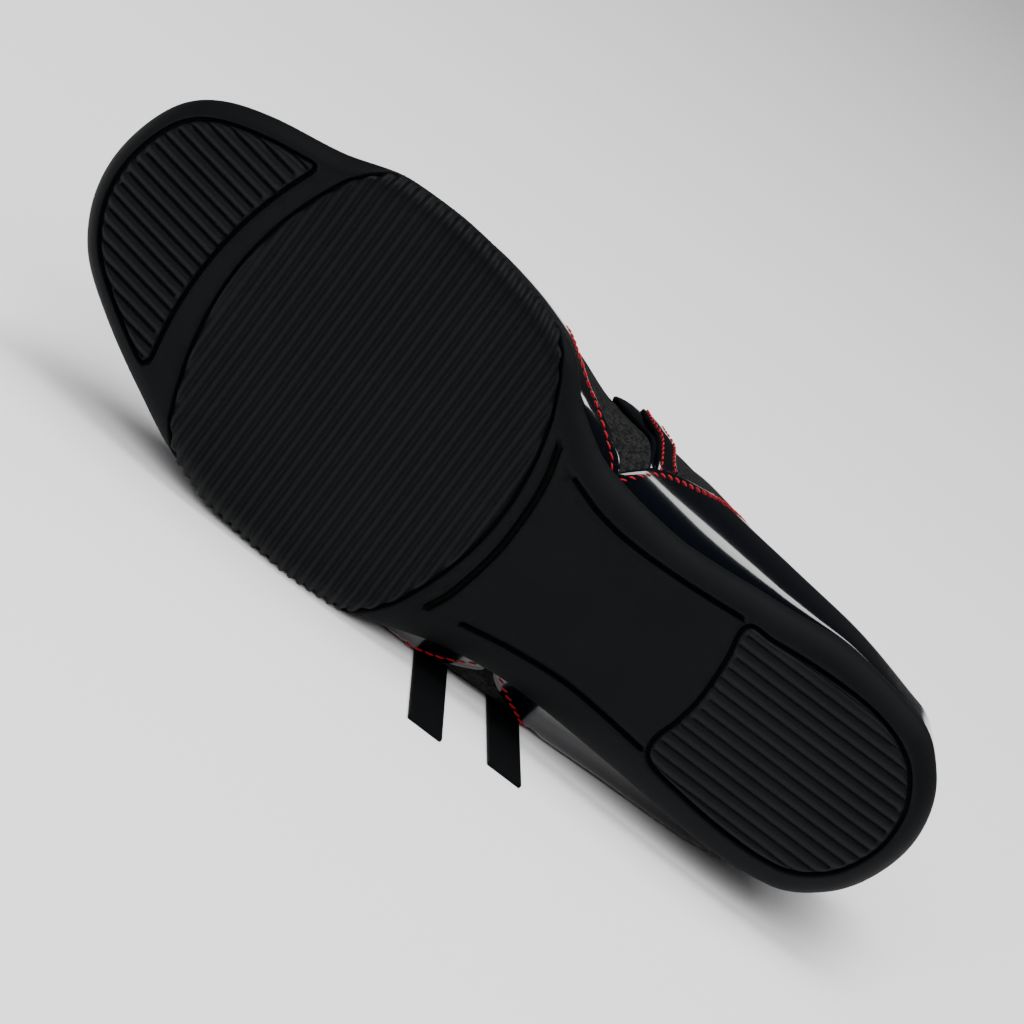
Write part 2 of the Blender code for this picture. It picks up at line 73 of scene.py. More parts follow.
heelward = REST_TURN @ (-1, 0, 0)
medialward = REST_TURN @ (0, math.cos(CAMERA_TILT), math.sin(CAMERA_TILT))
right = math.cos(CAMERA_ROLL) * heelward + math.sin(CAMERA_ROLL) * medialward
up = math.cos(CAMERA_ROLL) * medialward - math.sin(CAMERA_ROLL) * heelward
eye = CAMERA_AIM + CAMERA_DISTANCE * np.array([0, math.sin(CAMERA_TILT), -math.cos(CAMERA_TILT)])
camera = bpy.data.objects.new("camera", bpy.data.cameras.new("camera"))
camera.matrix_world = Matrix([*np.column_stack([right, up, np.cross(right, up), rest(eye)]), (0, 0, 0, 1)])
camera.data.lens = CAMERA_LENS
camera.data.shift_y = CAMERA_SHIFT
camera.data.clip_start = 0.01
bpy.context.scene.collection.objects.link(camera)
bpy.context.scene.camera = camera

# Floor and studio light.
# A seamless pale paper floor. A wide soft panel overhead draws the white bands on the patent and a
# small one at the back right a glint; a front and a ceiling fill light the sole but stay out of gloss.
FLOOR_SIZE = 12.0
LIGHT_AIM = (0, 0, 0.05)


def linear(hex_colour):
    """Linear colour of an sRGB hex value."""
    channels = [int(hex_colour[i:i + 2], 16) / 255 for i in (1, 3, 5)]
    return (*(c / 12.92 if c <= 0.04045 else ((c + 0.055) / 1.055) ** 2.4 for c in channels), 1.0)


def add(material, kind, sockets=(), **settings):
    """Adds a node; sockets maps an input's name or number to a value or to another node's output."""
    tree = material.node_tree
    item = tree.nodes.new(kind)
    for name, value in settings.items():
        setattr(item, name, value)
    for name, value in dict(sockets).items():
        if isinstance(value, bpy.types.NodeSocket):
            tree.links.new(value, item.inputs[name])
        else:
            item.inputs[name].default_value = value
    return item


def new_material(name, sockets):
    """Material with a Principled shader; sockets are the values that hold all over the surface."""
    material = bpy.data.materials.new(name)
    material.use_nodes = True
    shader = material.node_tree.nodes["Principled BSDF"]
    for socket, value in sockets.items():
        shader.inputs[socket].default_value = value
    return material, shader


paper = new_material("matt_studio_paper", {
    "Base Color": linear("#eeeef0"), "Roughness": 0.85, "IOR": 1.45})[0]
bpy.ops.mesh.primitive_plane_add(size=FLOOR_SIZE, location=(0, FLOOR_SIZE / 4, 0))
floor = bpy.context.object
floor.name = "floor"
floor.data.materials.append(paper)

LIGHTS = {
    # place in metres, width and height of the panel, power in watts, shows in gloss
    "front_fill": ((0.0, -1.5, 1.2), (2.2, 1.4), 60.0, False),
    "ceiling_panel": ((0.0, 0.1, 2.2), (2.4, 1.8), 40.0, False),
    "top_panel": ((-0.1, 0.07, 1.9), (1.5, 0.8), 26.0, True),
    "side_panel": ((1.1, 1.0, 1.35), (0.5, 0.4), 5.0, True),
}
for name, (place, (width, height), power, in_gloss) in LIGHTS.items():
    panel = bpy.data.lights.new(name, "AREA")
    panel.shape = "RECTANGLE"
    panel.size = width
    panel.size_y = height
    panel.energy = power
    lamp = bpy.data.objects.new(name, panel)
    lamp.location = place
    lamp.rotation_euler = (Vector(LIGHT_AIM) - Vector(place)).to_track_quat("-Z", "Y").to_euler()
    lamp.visible_glossy = in_gloss
    bpy.context.scene.collection.objects.link(lamp)
world = bpy.data.worlds.new("studio")
world.use_nodes = True
dome = world.node_tree.nodes["Background"].inputs
dome["Color"].default_value = linear("#b9babd")
dome["Strength"].default_value = 0.05
bpy.context.scene.world = world

# Outsole.
# Moulded black rubber cup sole: a rolled edge, a low wall that the upper is cemented into, beds
# for the three tread pads and thin moulded grooves across and along the waist.
LENGTH = 280.0
EDGE_RISE = 8.0
TOP_INSET = 2.0
SOLE = np.array([
    # x, medial, lateral, ground, seam, edge
    (0.0, 2.0, 2.0, 3.6, 25.0, 6.5),
    (8.0, 22.3, -20.2, 1.5, 24.5, 6.8),
    (21.0, 30.8, -29.5, 0.3, 23.8, 7.5),
    (45.0, 32.7, -33.5, 0.0, 22.0, 8.0),
    (72.0, 28.2, -34.1, 0.5, 19.0, 8.5),
    (104.0, 23.2, -36.0, 2.6, 16.0, 9.0),
    (125.0, 24.5, -40.2, 3.0, 14.5, 9.0),
    (141.0, 31.6, -46.3, 1.6, 13.6, 8.0),
    (154.0, 41.9, -51.5, 0.5, 13.0, 6.0),
    (174.0, 47.0, -54.4, 0.0, 12.5, 5.0),
    (194.0, 48.7, -54.5, 0.0, 12.5, 5.0),
    (214.0, 47.0, -50.8, 0.6, 13.0, 5.0),
    (234.0, 39.4, -43.9, 3.0, 15.5, 5.0),
    (254.0, 33.5, -35.6, 7.2, 19.5, 4.6),
    (267.0, 27.4, -28.2, 10.6, 23.0, 4.4),
    (275.0, 19.4, -19.0, 13.2, 25.5, 4.2),
    (280.0, -1.1, -1.1, 15.0, 27.0, 4.0),
])
BED_DEPTH = 2.8
MOAT = 1.0
LIP = 0.35
TOE_PAD_RIM = 5.3
TOE_PAD_START = 230.0
TOE_PAD_CORNERS = (3.0, 2.0)
TOE_PAD_REAR = (241.7, 0.005, -1.0)
FOREFOOT_FRONT = (233.8, 0.0062, 2.9)
FOREFOOT_REAR = (139.0, -0.00645, -8.8)
FOREFOOT_WRAP = 9.6
FOREFOOT_GROOVE = 0.7
ARC_REACH = 75.0
HEEL_PAD = np.array([
    # x, y round the pad from the inner front corner
    (71.4, 18.9), (69.2, 8.6), (67.6, -3.0), (68.0, -12.0), (69.2, -20.0), (66.0, -24.6), (53.0, -25.3),
    (40.0, -25.0), (28.0, -23.6), (19.0, -20.6), (11.5, -13.5), (7.6, -4.0), (7.4, 4.5), (10.0, 12.8),
    (16.5, 20.3), (26.0, 24.0), (37.0, 24.6), (52.0, 22.9), (64.0, 20.6),
])
GROOVES = {
    # half width, depth, then x and y along the groove
    "waist_cross": (0.85, 4.0, [
        (139.6, 20.6), (136.4, 12.0), (134.4, 1.5), (133.5, -12.0), (135.0, -27.0), (137.4, -34.6)]),
    "waist_inner": (0.60, 3.0, [
        (131.2, 17.3), (121.0, 15.0), (108.9, 14.6), (93.2, 16.4), (74.2, 20.0)]),
    "waist_outer": (0.60, 3.0, [
        (127.4, -31.7), (114.0, -27.9), (98.2, -24.8), (85.0, -24.0), (70.8, -23.9)]),
}


def curve(at, values, x):
    """Smooth curve through table rows that never overshoots them."""
    x = np.clip(np.asarray(x, float), at[0], at[-1])
    step = np.diff(at)
    slope = np.diff(values) / step
    tangent = np.zeros(len(at))
    same = slope[1:] * slope[:-1] > 0
    tangent[1:-1][same] = 2 * slope[1:][same] * slope[:-1][same] / (slope[1:] + slope[:-1])[same]
    tangent[0], tangent[-1] = slope[0], slope[-1]
    i = np.clip(np.searchsorted(at, x) - 1, 0, len(step) - 1)
    u = (x - at[i]) / step[i]
    return ((2 * u**3 - 3 * u**2 + 1) * values[i] + (u**3 - 2 * u**2 + u) * step[i] * tangent[i]
            + (3 * u**2 - 2 * u**3) * values[i + 1] + (u**3 - u**2) * step[i] * tangent[i + 1])


def row_at(table, column, x):
    """Value in a table's column at a distance from the heel."""
    return curve(table[:, 0], table[:, column], x)


def along(s, first=0.0, last=LENGTH):
    """Distance from the heel at station s; stations crowd together at both round ends."""
    return first + (last - first) * 0.5 * (1 - np.cos(np.pi * np.asarray(s, float)))


def station(x, first=0.0, last=LENGTH):
    """Station of a distance from the heel."""
    return np.arccos(np.clip(1 - 2 * (np.asarray(x, float) - first) / (last - first), -1, 1)) / np.pi


def smoothstep(low, high, x):
    """Soft ramp from 0 at low to 1 at high."""
    u = np.clip((np.asarray(x, float) - low) / (high - low), 0, 1)
    return u * u * (3 - 2 * u)


def quarter_round(u):
    """Rise of a rounded edge: 0 at its foot, level from u = 1 on."""
    return np.sqrt(1 - (1 - np.clip(u, 0, 1)) ** 2)


def rim(side, s):
    """Plan point of the sole's rim; side is 1 for medial and -1 for lateral."""
    column = SOLE[:, 1] if side > 0 else SOLE[:, 2]
    return np.stack([along(s), curve(station(SOLE[:, 0]), column, s)], -1)


def unit(vectors):
    return vectors / np.linalg.norm(vectors, axis=-1, keepdims=True)


def rim_normal(side, s):
    """Outward plan normal of the rim."""
    s = np.asarray(s, float)
    small = 0.002
    run = rim(side, np.minimum(s + small, 1)) - rim(side, np.maximum(s - small, 0))
    run[..., 0] = np.where((s <= 0) | (s >= 1), 0.0, run[..., 0])
    run = unit(run)
    return side * np.stack([-run[..., 1], run[..., 0]], -1)


def ground(x):
    return row_at(SOLE, 3, x)


def seam_height(x):
    return row_at(SOLE, 4, x)


def edge_width(s):
    return row_at(SOLE, 5, along(s))


def edge_arc(s):
    """Length of the rolled edge's quarter turn at station s."""
    return math.pi / 2 * np.sqrt((edge_width(s) ** 2 + EDGE_RISE**2) / 2)


def rim_out(side, s, out):
    """Plan points beside the rim, out from it along its normal."""
    return rim(side, s) + rim_normal(side, s) * np.asarray(out)[..., None]


FLOOR_NORMAL = REST_TURN[2]


def press(points, room=0.0):
    """Soft parts flatten where they would pass the floor, or the straps that lie on it."""
    height = rest(points)[..., 2] / MM
    return points + np.maximum(room - height, 0)[..., None] * FLOOR_NORMAL


def sole_wall(side, s, reach, lift):
    """Point on the rolled edge and wall, reach out from the flat tread along the rubber."""
    normal = rim_normal(side, s)
    quarter = edge_arc(s)
    turn = np.clip(reach / quarter, 0, 1) * math.pi / 2
    plan = rim(side, s) - normal * (edge_width(s) * (1 - np.sin(turn)))[:, None]
    height = ground(plan[:, 0]) + EDGE_RISE * (1 - np.cos(turn))
    wall = seam_height(plan[:, 0]) - ground(plan[:, 0]) - EDGE_RISE
    share = np.clip((reach - quarter) / wall, 0, 1)
    plan = plan - normal * (TOP_INSET * share)[:, None]
    height = height + (seam_height(plan[:, 0]) - height) * share
    plan = plan + normal * (np.sin(turn) * lift)[:, None]
    return np.column_stack([plan, height - np.cos(turn) * lift])


def wall_reach(s):
    """How far the edge and wall reach, along the rubber, from the flat tread to the seam."""
    x = along(s)
    return edge_arc(s) + seam_height(x) - ground(x) - EDGE_RISE


def way_along(line):
    """Way walked along a line to each of its points."""
    return np.concatenate([[0], np.cumsum(np.linalg.norm(np.diff(line, axis=0), axis=1))])


def at_way(line, run, way):
    """Points at given ways along a line; run is the way to each of its own points."""
    return np.column_stack([np.interp(way, run, column) for column in line.T])


def resample(line, step):
    """Points a given step apart along a line."""
    run = way_along(line)
    return at_way(line, run, np.linspace(0, run[-1], max(2, int(round(run[-1] / step)) + 1)))


def smooth_line(points, step, closed=False):
    """Round line through hand-placed points."""
    points = np.asarray(points, float)
    before, after = points[-1:], points[:2]
    if not closed:
        before, after = 2 * points[:1] - points[1:2], 2 * points[-1:] - points[-2:-1]
    knots = np.concatenate([before, points, after])
    u = np.linspace(0, 1, 24, endpoint=False)[:, None]
    pieces = []
    for p, q, r, t in zip(knots, knots[1:], knots[2:], knots[3:]):
        pieces.append(0.5 * (2 * q + (r - p) * u + (2 * p - 5 * q + 4 * r - t) * u**2
                             + (3 * q - p - 3 * r + t) * u**3))
    last = points[:1] if closed else points[-1:]
    return resample(np.concatenate([*pieces, last]), step)


def beside(line, distance):
    """Line at a distance to the left of another; a closed line repeats its first point."""
    run = np.gradient(line, axis=0)
    if np.allclose(line[0], line[-1]):
        run[0] = run[-1] = line[1] - line[-2]
    run = unit(run)
    return line + distance * np.column_stack([-run[:, 1], run[:, 0]])


NEAREST_BATCH = 2000


def nearest(points, line):
    """Distance of points from a line, and the place along it, counted in its points."""
    start, run = line[:-1], np.diff(line, axis=0)
    length = np.maximum((run**2).sum(1), 1e-12)
    distance, place = np.empty(len(points)), np.empty(len(points))
    for k in range(0, len(points), NEAREST_BATCH):
        batch = np.s_[k:k + NEAREST_BATCH]
        away = points[batch, None] - start
        share = np.clip((away * run).sum(2) / length, 0, 1)
        gap = ((away - share[..., None] * run) ** 2).sum(2)
        best = gap.argmin(1)
        row = np.arange(len(best))
        distance[batch] = np.sqrt(gap[row, best])
        place[batch] = best + share[row, best]
    return distance, place


def inside(points, outline):
    """Which points lie inside a closed line."""
    count = np.zeros(len(points), int)
    for (x0, y0), (x1, y1) in zip(outline[:-1], outline[1:]):
        spans = (y0 > points[:, 1]) != (y1 > points[:, 1])
        with np.errstate(divide="ignore", invalid="ignore"):
            cross = x0 + (points[:, 1] - y0) * (x1 - x0) / (y1 - y0)
        count += spans & (points[:, 0] < cross)
    return count % 2 == 1


def signed(points, outline):
    """Distance from a closed line, below zero inside it."""
    return nearest(points, outline)[0] * np.where(inside(points, outline), -1, 1)


def inner_side(outline):
    """1 where a closed line has its inside on the left, -1 where on the right."""
    return 1.0 if inside(beside(outline, 0.5)[:1], outline)[0] else -1.0


def patch(outline, lines, spacing, clearance):
    """Triangles over a closed outline; their edges follow the outline and the lines."""
    low, high = outline.min(0), outline.max(0)
    columns, rows = (np.arange(low[k] + spacing / 2, high[k], spacing) for k in (0, 1))
    fill = np.stack(np.meshgrid(columns, rows, indexing="ij"), -1)
    fill[:, 1::2, 0] += spacing / 2
    fill = fill.reshape(-1, 2)
    every = [outline, *lines]
    gap = np.min([nearest(fill, line)[0] for line in every], axis=0)
    fill = fill[(gap > clearance) & inside(fill, outline)]
    points, edges = [], []
    for line in every:
        first = len(points)
        points.extend(line)
        edges.extend((k, k + 1) for k in range(first, len(points) - 1))
    points.extend(fill)
    points, _, faces = delaunay_2d_cdt([Vector(p) for p in points], edges, [], 0, 1e-3)[:3]
    points, faces = np.array(points), np.array(faces)
    return points, faces[inside(points[faces].mean(1), outline)]


def shoe_piece(name, points, faces, material, node=None, cloth=None, normals=None):
    """Adds a smooth mesh, given in the shoe's millimetres, that rides on the shoe.

    Cloth gives each point's place, in millimetres, on the flat cloth that the piece is cut from.
    Normals, where given, keep the reflections on a glossy piece as smooth as its true surface.
    """
    mesh = bpy.data.meshes.new(name)
    shape = bmesh.new()
    layer = shape.loops.layers.uv.new("cloth")
    facing = shape.verts.layers.float_vector.new("facing") if normals is not None else None
    corners = [shape.verts.new(p) for p in rest(points)]
    if facing:
        for corner, normal in zip(corners, normals @ REST_TURN.T):
            corner[facing] = normal
    for face in faces:
        made = shape.faces.new([corners[k] for k in face])
        if cloth is not None:
            for loop, k in zip(made.loops, face):
                loop[layer].uv = cloth[k] * MM
    bmesh.ops.remove_doubles(shape, verts=shape.verts, dist=2e-6)
    bmesh.ops.dissolve_degenerate(shape, edges=shape.edges, dist=1e-6)
    bmesh.ops.delete(shape, geom=[v for v in shape.verts if not v.link_faces], context="VERTS")
    bmesh.ops.recalc_face_normals(shape, faces=shape.faces)
    if facing:
        turned_in = [f for f in shape.faces if f.normal.dot(f.verts[0][facing]) < 0]
        bmesh.ops.reverse_faces(shape, faces=turned_in)
    shape.to_mesh(mesh)
    shape.free()
    mesh.shade_smooth()
    if facing:
        mesh.normals_split_custom_set_from_vertices([v.vector for v in mesh.attributes["facing"].data])
        mesh.attributes.remove(mesh.attributes["facing"])
    mesh.materials.append(material)
    piece = bpy.data.objects.new(name, mesh)
    bpy.context.scene.collection.objects.link(piece)
    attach(piece, "root")
    if node:
        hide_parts(node)
    return piece


def round_corner(outline, corner, cut):
    """Closed line with one of its corners rounded off, cut millimetres each way."""
    run = np.linalg.norm(outline - corner, axis=1)
    middle = int(run[:-1].argmin())
    ring = np.roll(outline[:-1], -middle, axis=0)
    keep = np.linalg.norm(ring - ring[0], axis=1) > cut
    kept = ring[keep.argmax():len(ring) - keep[::-1].argmax()]
    u = np.linspace(0, 1, 9)[:, None]
    bend = kept[-1] * (1 - u) ** 2 + 2 * ring[0] * u * (1 - u) + kept[0] * u**2
    return np.concatenate([kept, bend[1:]])


RING_POINTS = 300
ring_s = np.linspace(0, 1, RING_POINTS)
ring_at = np.concatenate([ring_s, ring_s[::-1][1:]])
ring_side = np.repeat([-1, 1], RING_POINTS - 1)


def round_sole(out, every=2):
    """Closed line round the sole, beside the rim by what out gives for a station."""
    lines = [rim_out(side, stations, out(stations))
             for side, stations in ((-1, ring_s[::every]), (1, ring_s[::-1][1::every]))]
    return np.concatenate([*lines, lines[0][:1]])


def wall_line(share):
    """Line round the flattened-out sole, at a share of the wall's reach."""
    return round_sole(lambda s: wall_reach(s) * share - edge_width(s))


flat_edge = round_sole(lambda s: -edge_width(s), every=1)


def sole_reach(points):
    """How far flattened-out points lie beyond the flat tread; below zero on it."""
    return signed(points, flat_edge)


def sole_point(points, lift):
    """Place of flattened-out points of the sole, raised by lift out of the rubber."""
    reach, place = nearest(points, flat_edge)
    flat = inside(points, flat_edge)
    low = np.minimum(place.astype(int), len(ring_side) - 1)
    s = ring_at[low] + (ring_at[low + 1] - ring_at[low]) * (place - low)
    out = np.column_stack([points, ground(points[:, 0]) - lift])
    for side in (-1, 1):
        chosen = ~flat & (ring_side[low] == side)
        out[chosen] = sole_wall(side, s[chosen], reach[chosen], lift[chosen])
    return press(out)


def arc(shape, y):
    """Curved pad edge: distance from the heel at the crown, bow per millimetre squared, centre."""
    crown, bow, centre = shape
    return crown - bow * (y - centre) ** 2


toe_s = np.linspace(station(TOE_PAD_START), 1, 100)
toe_sides = [rim_out(side, toe_s, -TOE_PAD_RIM) for side in (-1, 1)]
toe_front = np.concatenate([toe_sides[0][:-1], toe_sides[1][::-1]])
toe_front = toe_front[toe_front[:, 0] > arc(TOE_PAD_REAR, toe_front[:, 1])]
rear_y = np.linspace(toe_front[-1, 1], toe_front[0, 1], 90)
toe_rear = np.column_stack([arc(TOE_PAD_REAR, rear_y), rear_y])
toe_outline = np.concatenate([toe_front, toe_rear[1:-1], toe_front[:1]])
for corner, cut in zip((toe_front[0], toe_front[-1]), TOE_PAD_CORNERS):
    toe_outline = round_corner(toe_outline, corner, cut)
toe_outline = resample(toe_outline, 1.0)
heel_outline = smooth_line(HEEL_PAD, 1.0, closed=True)[::-1]
arc_y = np.linspace(-ARC_REACH, ARC_REACH, 151)
forefoot_arcs = [np.column_stack([arc(shape, arc_y), arc_y]) for shape in (FOREFOOT_REAR, FOREFOOT_FRONT)]
groove_lines = {name: smooth_line(row[2], 1.0) for name, row in GROOVES.items()}


def forefoot_outside(points):
    """How far flattened-out points lie outside the forefoot pad; below zero inside."""
    rear, front = (arc(shape, points[:, 1]) for shape in (FOREFOOT_REAR, FOREFOOT_FRONT))
    slant = 0.92
    return np.max([(rear - points[:, 0]) * slant, (points[:, 0] - front) * slant,
                   sole_reach(points) - FOREFOOT_WRAP], axis=0)


def sole_lift(points):
    """Moulded relief of the outsole: beds for the pads and grooves, with soft lips."""
    depth = BED_DEPTH * (1 - smoothstep(-LIP, LIP, forefoot_outside(points) - FOREFOOT_GROOVE))
    for outline in (toe_outline, heel_outline):
        bed = 1 - smoothstep(-LIP, LIP, signed(points, outline) - MOAT)
        depth = np.maximum(depth, BED_DEPTH * bed)
    for name, (half, deep, _) in GROOVES.items():
        channel = 1 - smoothstep(-LIP, LIP, nearest(points, groove_lines[name])[0] - half)
        depth = np.maximum(depth, deep * channel)
    return -depth


lip_steps = np.array([-1.0, -0.45, 0.0, 0.45, 1.0]) * LIP
sole_lines = []
for outline in (toe_outline, heel_outline):
    for step in lip_steps:
        sole_lines.append(beside(outline, -inner_side(outline) * (MOAT + step)))
for line, outward in zip(forefoot_arcs, (1.0, -1.0)):
    reach = sole_reach(line)
    for step in lip_steps:
        sole_lines.append(beside(line, outward * (FOREFOOT_GROOVE + step))[reach < FOREFOOT_WRAP + 1.5])
for name, (half, _, _) in GROOVES.items():
    for step in (*lip_steps, -half):
        for way in (-1, 1):
            sole_lines.append(beside(groove_lines[name], way * (half + step)))
for share in np.linspace(0.0, 1.0, 15)[:-1]:
    sole_lines.append(wall_line(share))

sole_plan, sole_faces = patch(wall_line(1.0), sole_lines, spacing=2.6, clearance=0.8)
sole_points = sole_point(sole_plan, sole_lift(sole_plan))
top_plan, top_faces = patch(round_sole(lambda s: -TOP_INSET), [], spacing=8.0, clearance=3.0)
top_points = press(np.column_stack([top_plan, seam_height(top_plan[:, 0])]))

# Black sole rubber, moulded in a fine-blasted tool: matt, with a faint cool sheen and the least
# unevenness of grain, which shows as soft grey on the rolled edges.
RUBBER_GRAIN = 0.35
RUBBER_SHADING = 22.0


def noise(material, size, detail):
    """Noise over a piece whose features have a size in real millimetres."""
    place = add(material, "ShaderNodeTexCoord").outputs["Object"]
    sockets = {"Vector": place, "Scale": 1 / (size * MM), "Detail": detail}
    return add(material, "ShaderNodeTexNoise", sockets).outputs["Fac"]


def emboss(material, shader, height, strength, depth, sockets=("Normal",)):
    """Draws a height as relief of a depth in millimetres."""
    bump = add(material, "ShaderNodeBump", {"Height": height, "Strength": strength, "Distance": depth * MM})
    for socket in sockets:
        material.node_tree.links.new(bump.outputs["Normal"], shader.inputs[socket])


def shade(material, shader, share, dark, light):
    """Colours a surface between two shades."""
    sockets = {"Factor": share, "A": linear(dark), "B": linear(light)}
    mixed = add(material, "ShaderNodeMix", sockets, data_type="RGBA").outputs["Result"]
    material.node_tree.links.new(mixed, shader.inputs["Base Color"])


def moulded_rubber(name, roughness, gloss, dark, light):
    """Rubber with the blasted tool's grain and a slow change of shade."""
    material, shader = new_material(name, {"IOR": 1.5, "Roughness": roughness, "Specular IOR Level": gloss})
    shade(material, shader, noise(material, RUBBER_SHADING, 3.0), dark, light)
    emboss(material, shader, noise(material, RUBBER_GRAIN, 2.0), 0.5, 0.05)
    return material


rubber = moulded_rubber("moulded_black_rubber", 0.7, 0.12, "#060708", "#0b0c0d")
shoe_piece("outsole_rubber", np.concatenate([sole_points, top_points]),
           [*sole_faces, *(top_faces + len(sole_points))], rubber, "outsole")

# Tread pads.
# Three inserts of harder black rubber, moulded apart and cemented into the outsole's beds: fine
# ribs along the shoe under toe and heel, and across it under the ball, carried round both edges.
PAD_PROUD = 0.6
PAD_ROLL = 1.3
PAD_ROLL_LINES = (0.06, 0.25, 0.55, 1.0)
PAD_FOOT = 0.1 - BED_DEPTH
PAD_SKIRT = 0.1
RIB_ROUND = 0.97
RIB_STEPS = np.array([0.0, 0.03, 0.09, 0.18, 0.30, 0.43])
PADS = {
    # rib pitch, depth of the ribs' round, slope of the ribs, one valley's x and y, ribs run across
    "toe_pad": (3.52, 2.3, 0.030, (255.0, 3.4), False),
    "heel_pad": (3.30, 1.2, -0.087, (64.0, 5.0), False),
    "forefoot_pad": (3.30, 1.2, 0.087, (186.0, 0.0), True),
}
arcs_inside = [line[sole_reach(line) < FOREFOOT_WRAP] for line in forefoot_arcs]
wrap_s = ring_s[::2]
wrap_sides = []
for side in (-1, 1):
    line = rim_out(side, wrap_s, FOREFOOT_WRAP - edge_width(wrap_s))
    between = (line[:, 0] > arc(FOREFOOT_REAR, line[:, 1])) & (line[:, 0] < arc(FOREFOOT_FRONT, line[:, 1]))
    wrap_sides.append(line[between])
forefoot_outline = np.concatenate([arcs_inside[0], wrap_sides[1], arcs_inside[1][::-1], wrap_sides[0][::-1],
                                   arcs_inside[0][:1]])
forefoot_outline = resample(forefoot_outline, 1.2)
pad_outlines = {"toe_pad": toe_outline, "heel_pad": heel_outline, "forefoot_pad": forefoot_outline}
tread = moulded_rubber("moulded_tread_rubber", 0.6, 0.16, "#070809", "#0c0d0e")

for name, (pitch, deep, slope, valley, across) in PADS.items():
    outline = pad_outlines[name]
    inward = inner_side(outline)
    low, high = outline.min(0) - 3, outline.max(0) + 3
    lines = [beside(outline, inward * PAD_ROLL * share) for share in PAD_ROLL_LINES]
    run, cross = (1, 0) if across else (0, 1)
    at = np.arange(low[run], high[run], 2.2)
    first = math.floor((low[cross] - valley[cross]) / pitch) - 4
    last = math.ceil((high[cross] - valley[cross]) / pitch) + 4
    for k in range(first, last):
        for step in (*RIB_STEPS, *(1 - RIB_STEPS[1:])):
            line = np.empty((len(at), 2))
            line[:, run] = at
            line[:, cross] = valley[cross] + (k + step) * pitch + slope * (at - valley[run])
            kept = inside(line, outline)
            if kept.sum() > 1:
                start, stop = kept.argmax(), len(kept) - kept[::-1].argmax()
                lines.append(line[start:stop])
    skirt = beside(outline, -inward * PAD_SKIRT)
    plan, faces = patch(skirt, [outline, *lines], spacing=3.0, clearance=1.6)
    phase = (plan[:, cross] - valley[cross] - slope * (plan[:, run] - valley[run])) / pitch
    from_crest = np.abs(2 * (phase - np.floor(phase)) - 1)
    outside = signed(plan, outline)
    roll = PAD_ROLL * (1 - quarter_round(-outside / PAD_ROLL))
    dip = 1 - np.sqrt(1 - (RIB_ROUND * from_crest) ** 2)
    if across:
        dip = 0.5 - 0.5 * np.cos(math.pi * from_crest)
    lift = PAD_PROUD - deep * dip - roll
    lift[outside > PAD_SKIRT / 2] = PAD_FOOT
    shoe_piece(name + "_ribs", sole_point(plan, lift), faces, tread, name)

# Insole.
# Plain sock liner: dark brushed textile on thin foam, die-cut and dropped onto the sole, with a
# little dish at the heel and a soft rounded edge.
INSOLE_THICK = 3.5
INSOLE_INSET = 4.2
GAP = 0.3
INSOLE_DISH = 0.8
INSOLE_DISH_END = (40.0, 110.0)
insole_s = np.linspace(0, 1, 120)
insole_edges = [rim_out(side, insole_s, -TOP_INSET - INSOLE_INSET) for side in (-1, 1)]


def grid_faces(rows, columns, closed=False):
    """Faces of a grid of points; a closed grid joins its last column to its first."""
    faces = []
    for i in range(rows - 1):
        for j in range(columns if closed else columns - 1):
            k = (j + 1) % columns
            faces.append((i * columns + j, i * columns + k, (i + 1) * columns + k, (i + 1) * columns + j))
    return faces


INSOLE_PROFILE = [
    # share of the way in from each edge, share of the thickness
    (0.0, 0.0), (0.0, 0.55), (0.006, 0.85), (0.02, 1.0), (0.12, 1.0), (0.25, 1.0), (0.4, 1.0), (0.5, 1.0),
]
insole_section = [*INSOLE_PROFILE, *((1 - share, high) for share, high in INSOLE_PROFILE[-2::-1])]
insole_grid = []
for share, high in insole_section:
    plan = insole_edges[0] * (1 - share) + insole_edges[1] * share
    dish = INSOLE_DISH * 4 * share * (1 - share) * (1 - smoothstep(*INSOLE_DISH_END, plan[:, 0]))
    height = seam_height(plan[:, 0]) + GAP + INSOLE_THICK * high - dish * (high > 0.9)
    insole_grid.append(np.column_stack([plan, height]))
insole_grid = np.stack(insole_grid, 1)

# Brushed black textile: short fibres lie every way, so it is matt with a soft pale bloom at
# grazing angles and no gloss. The fibre noise is drawn a little coarse, so that it shows.
BRUSHED_FIBRE = 0.5
brushed, brushed_shader = new_material("brushed_black_textile", {
    "Base Color": linear("#141415"), "Roughness": 0.95, "IOR": 1.45,
    "Sheen Weight": 0.25, "Sheen Roughness": 0.5})
emboss(brushed, brushed_shader, noise(brushed, BRUSHED_FIBRE, 4.0), 0.7, 0.15)
insole = shoe_piece("insole_sock", insole_grid.reshape(-1, 3),
                    grid_faces(*insole_grid.shape[:2], closed=True), brushed, "insole")

# Woven upper base.
# One wall of close black weave over a brushed lining, 1.6 mm in all, lasted over the foot's shape.
# It shows as the wedge between vamp and quarter on both sides and carries every panel.
BELLY = np.array([
    # x, medial out, medial up, lateral out, lateral up
    (0.0, 1.0, 14.0, 1.0, 14.0),
    (21.0, 0.1, 15.0, 2.6, 8.0),
    (45.0, 1.6, 17.0, 8.0, 5.0),
    (72.0, 7.0, 21.0, 10.0, 5.0),
    (104.0, 12.6, 24.0, 11.8, 6.0),
    (125.0, 12.0, 22.0, 10.2, 5.0),
    (141.0, 5.4, 20.0, 6.0, 4.5),
    (154.0, 0.0, 13.0, 3.6, 6.0),
    (174.0, 0.0, 12.0, 1.0, 8.0),
    (200.0, 0.0, 10.0, 0.3, 8.0),
    (240.0, 0.0, 8.0, 0.0, 8.0),
    (280.0, 0.0, 4.0, 0.0, 4.0),
])
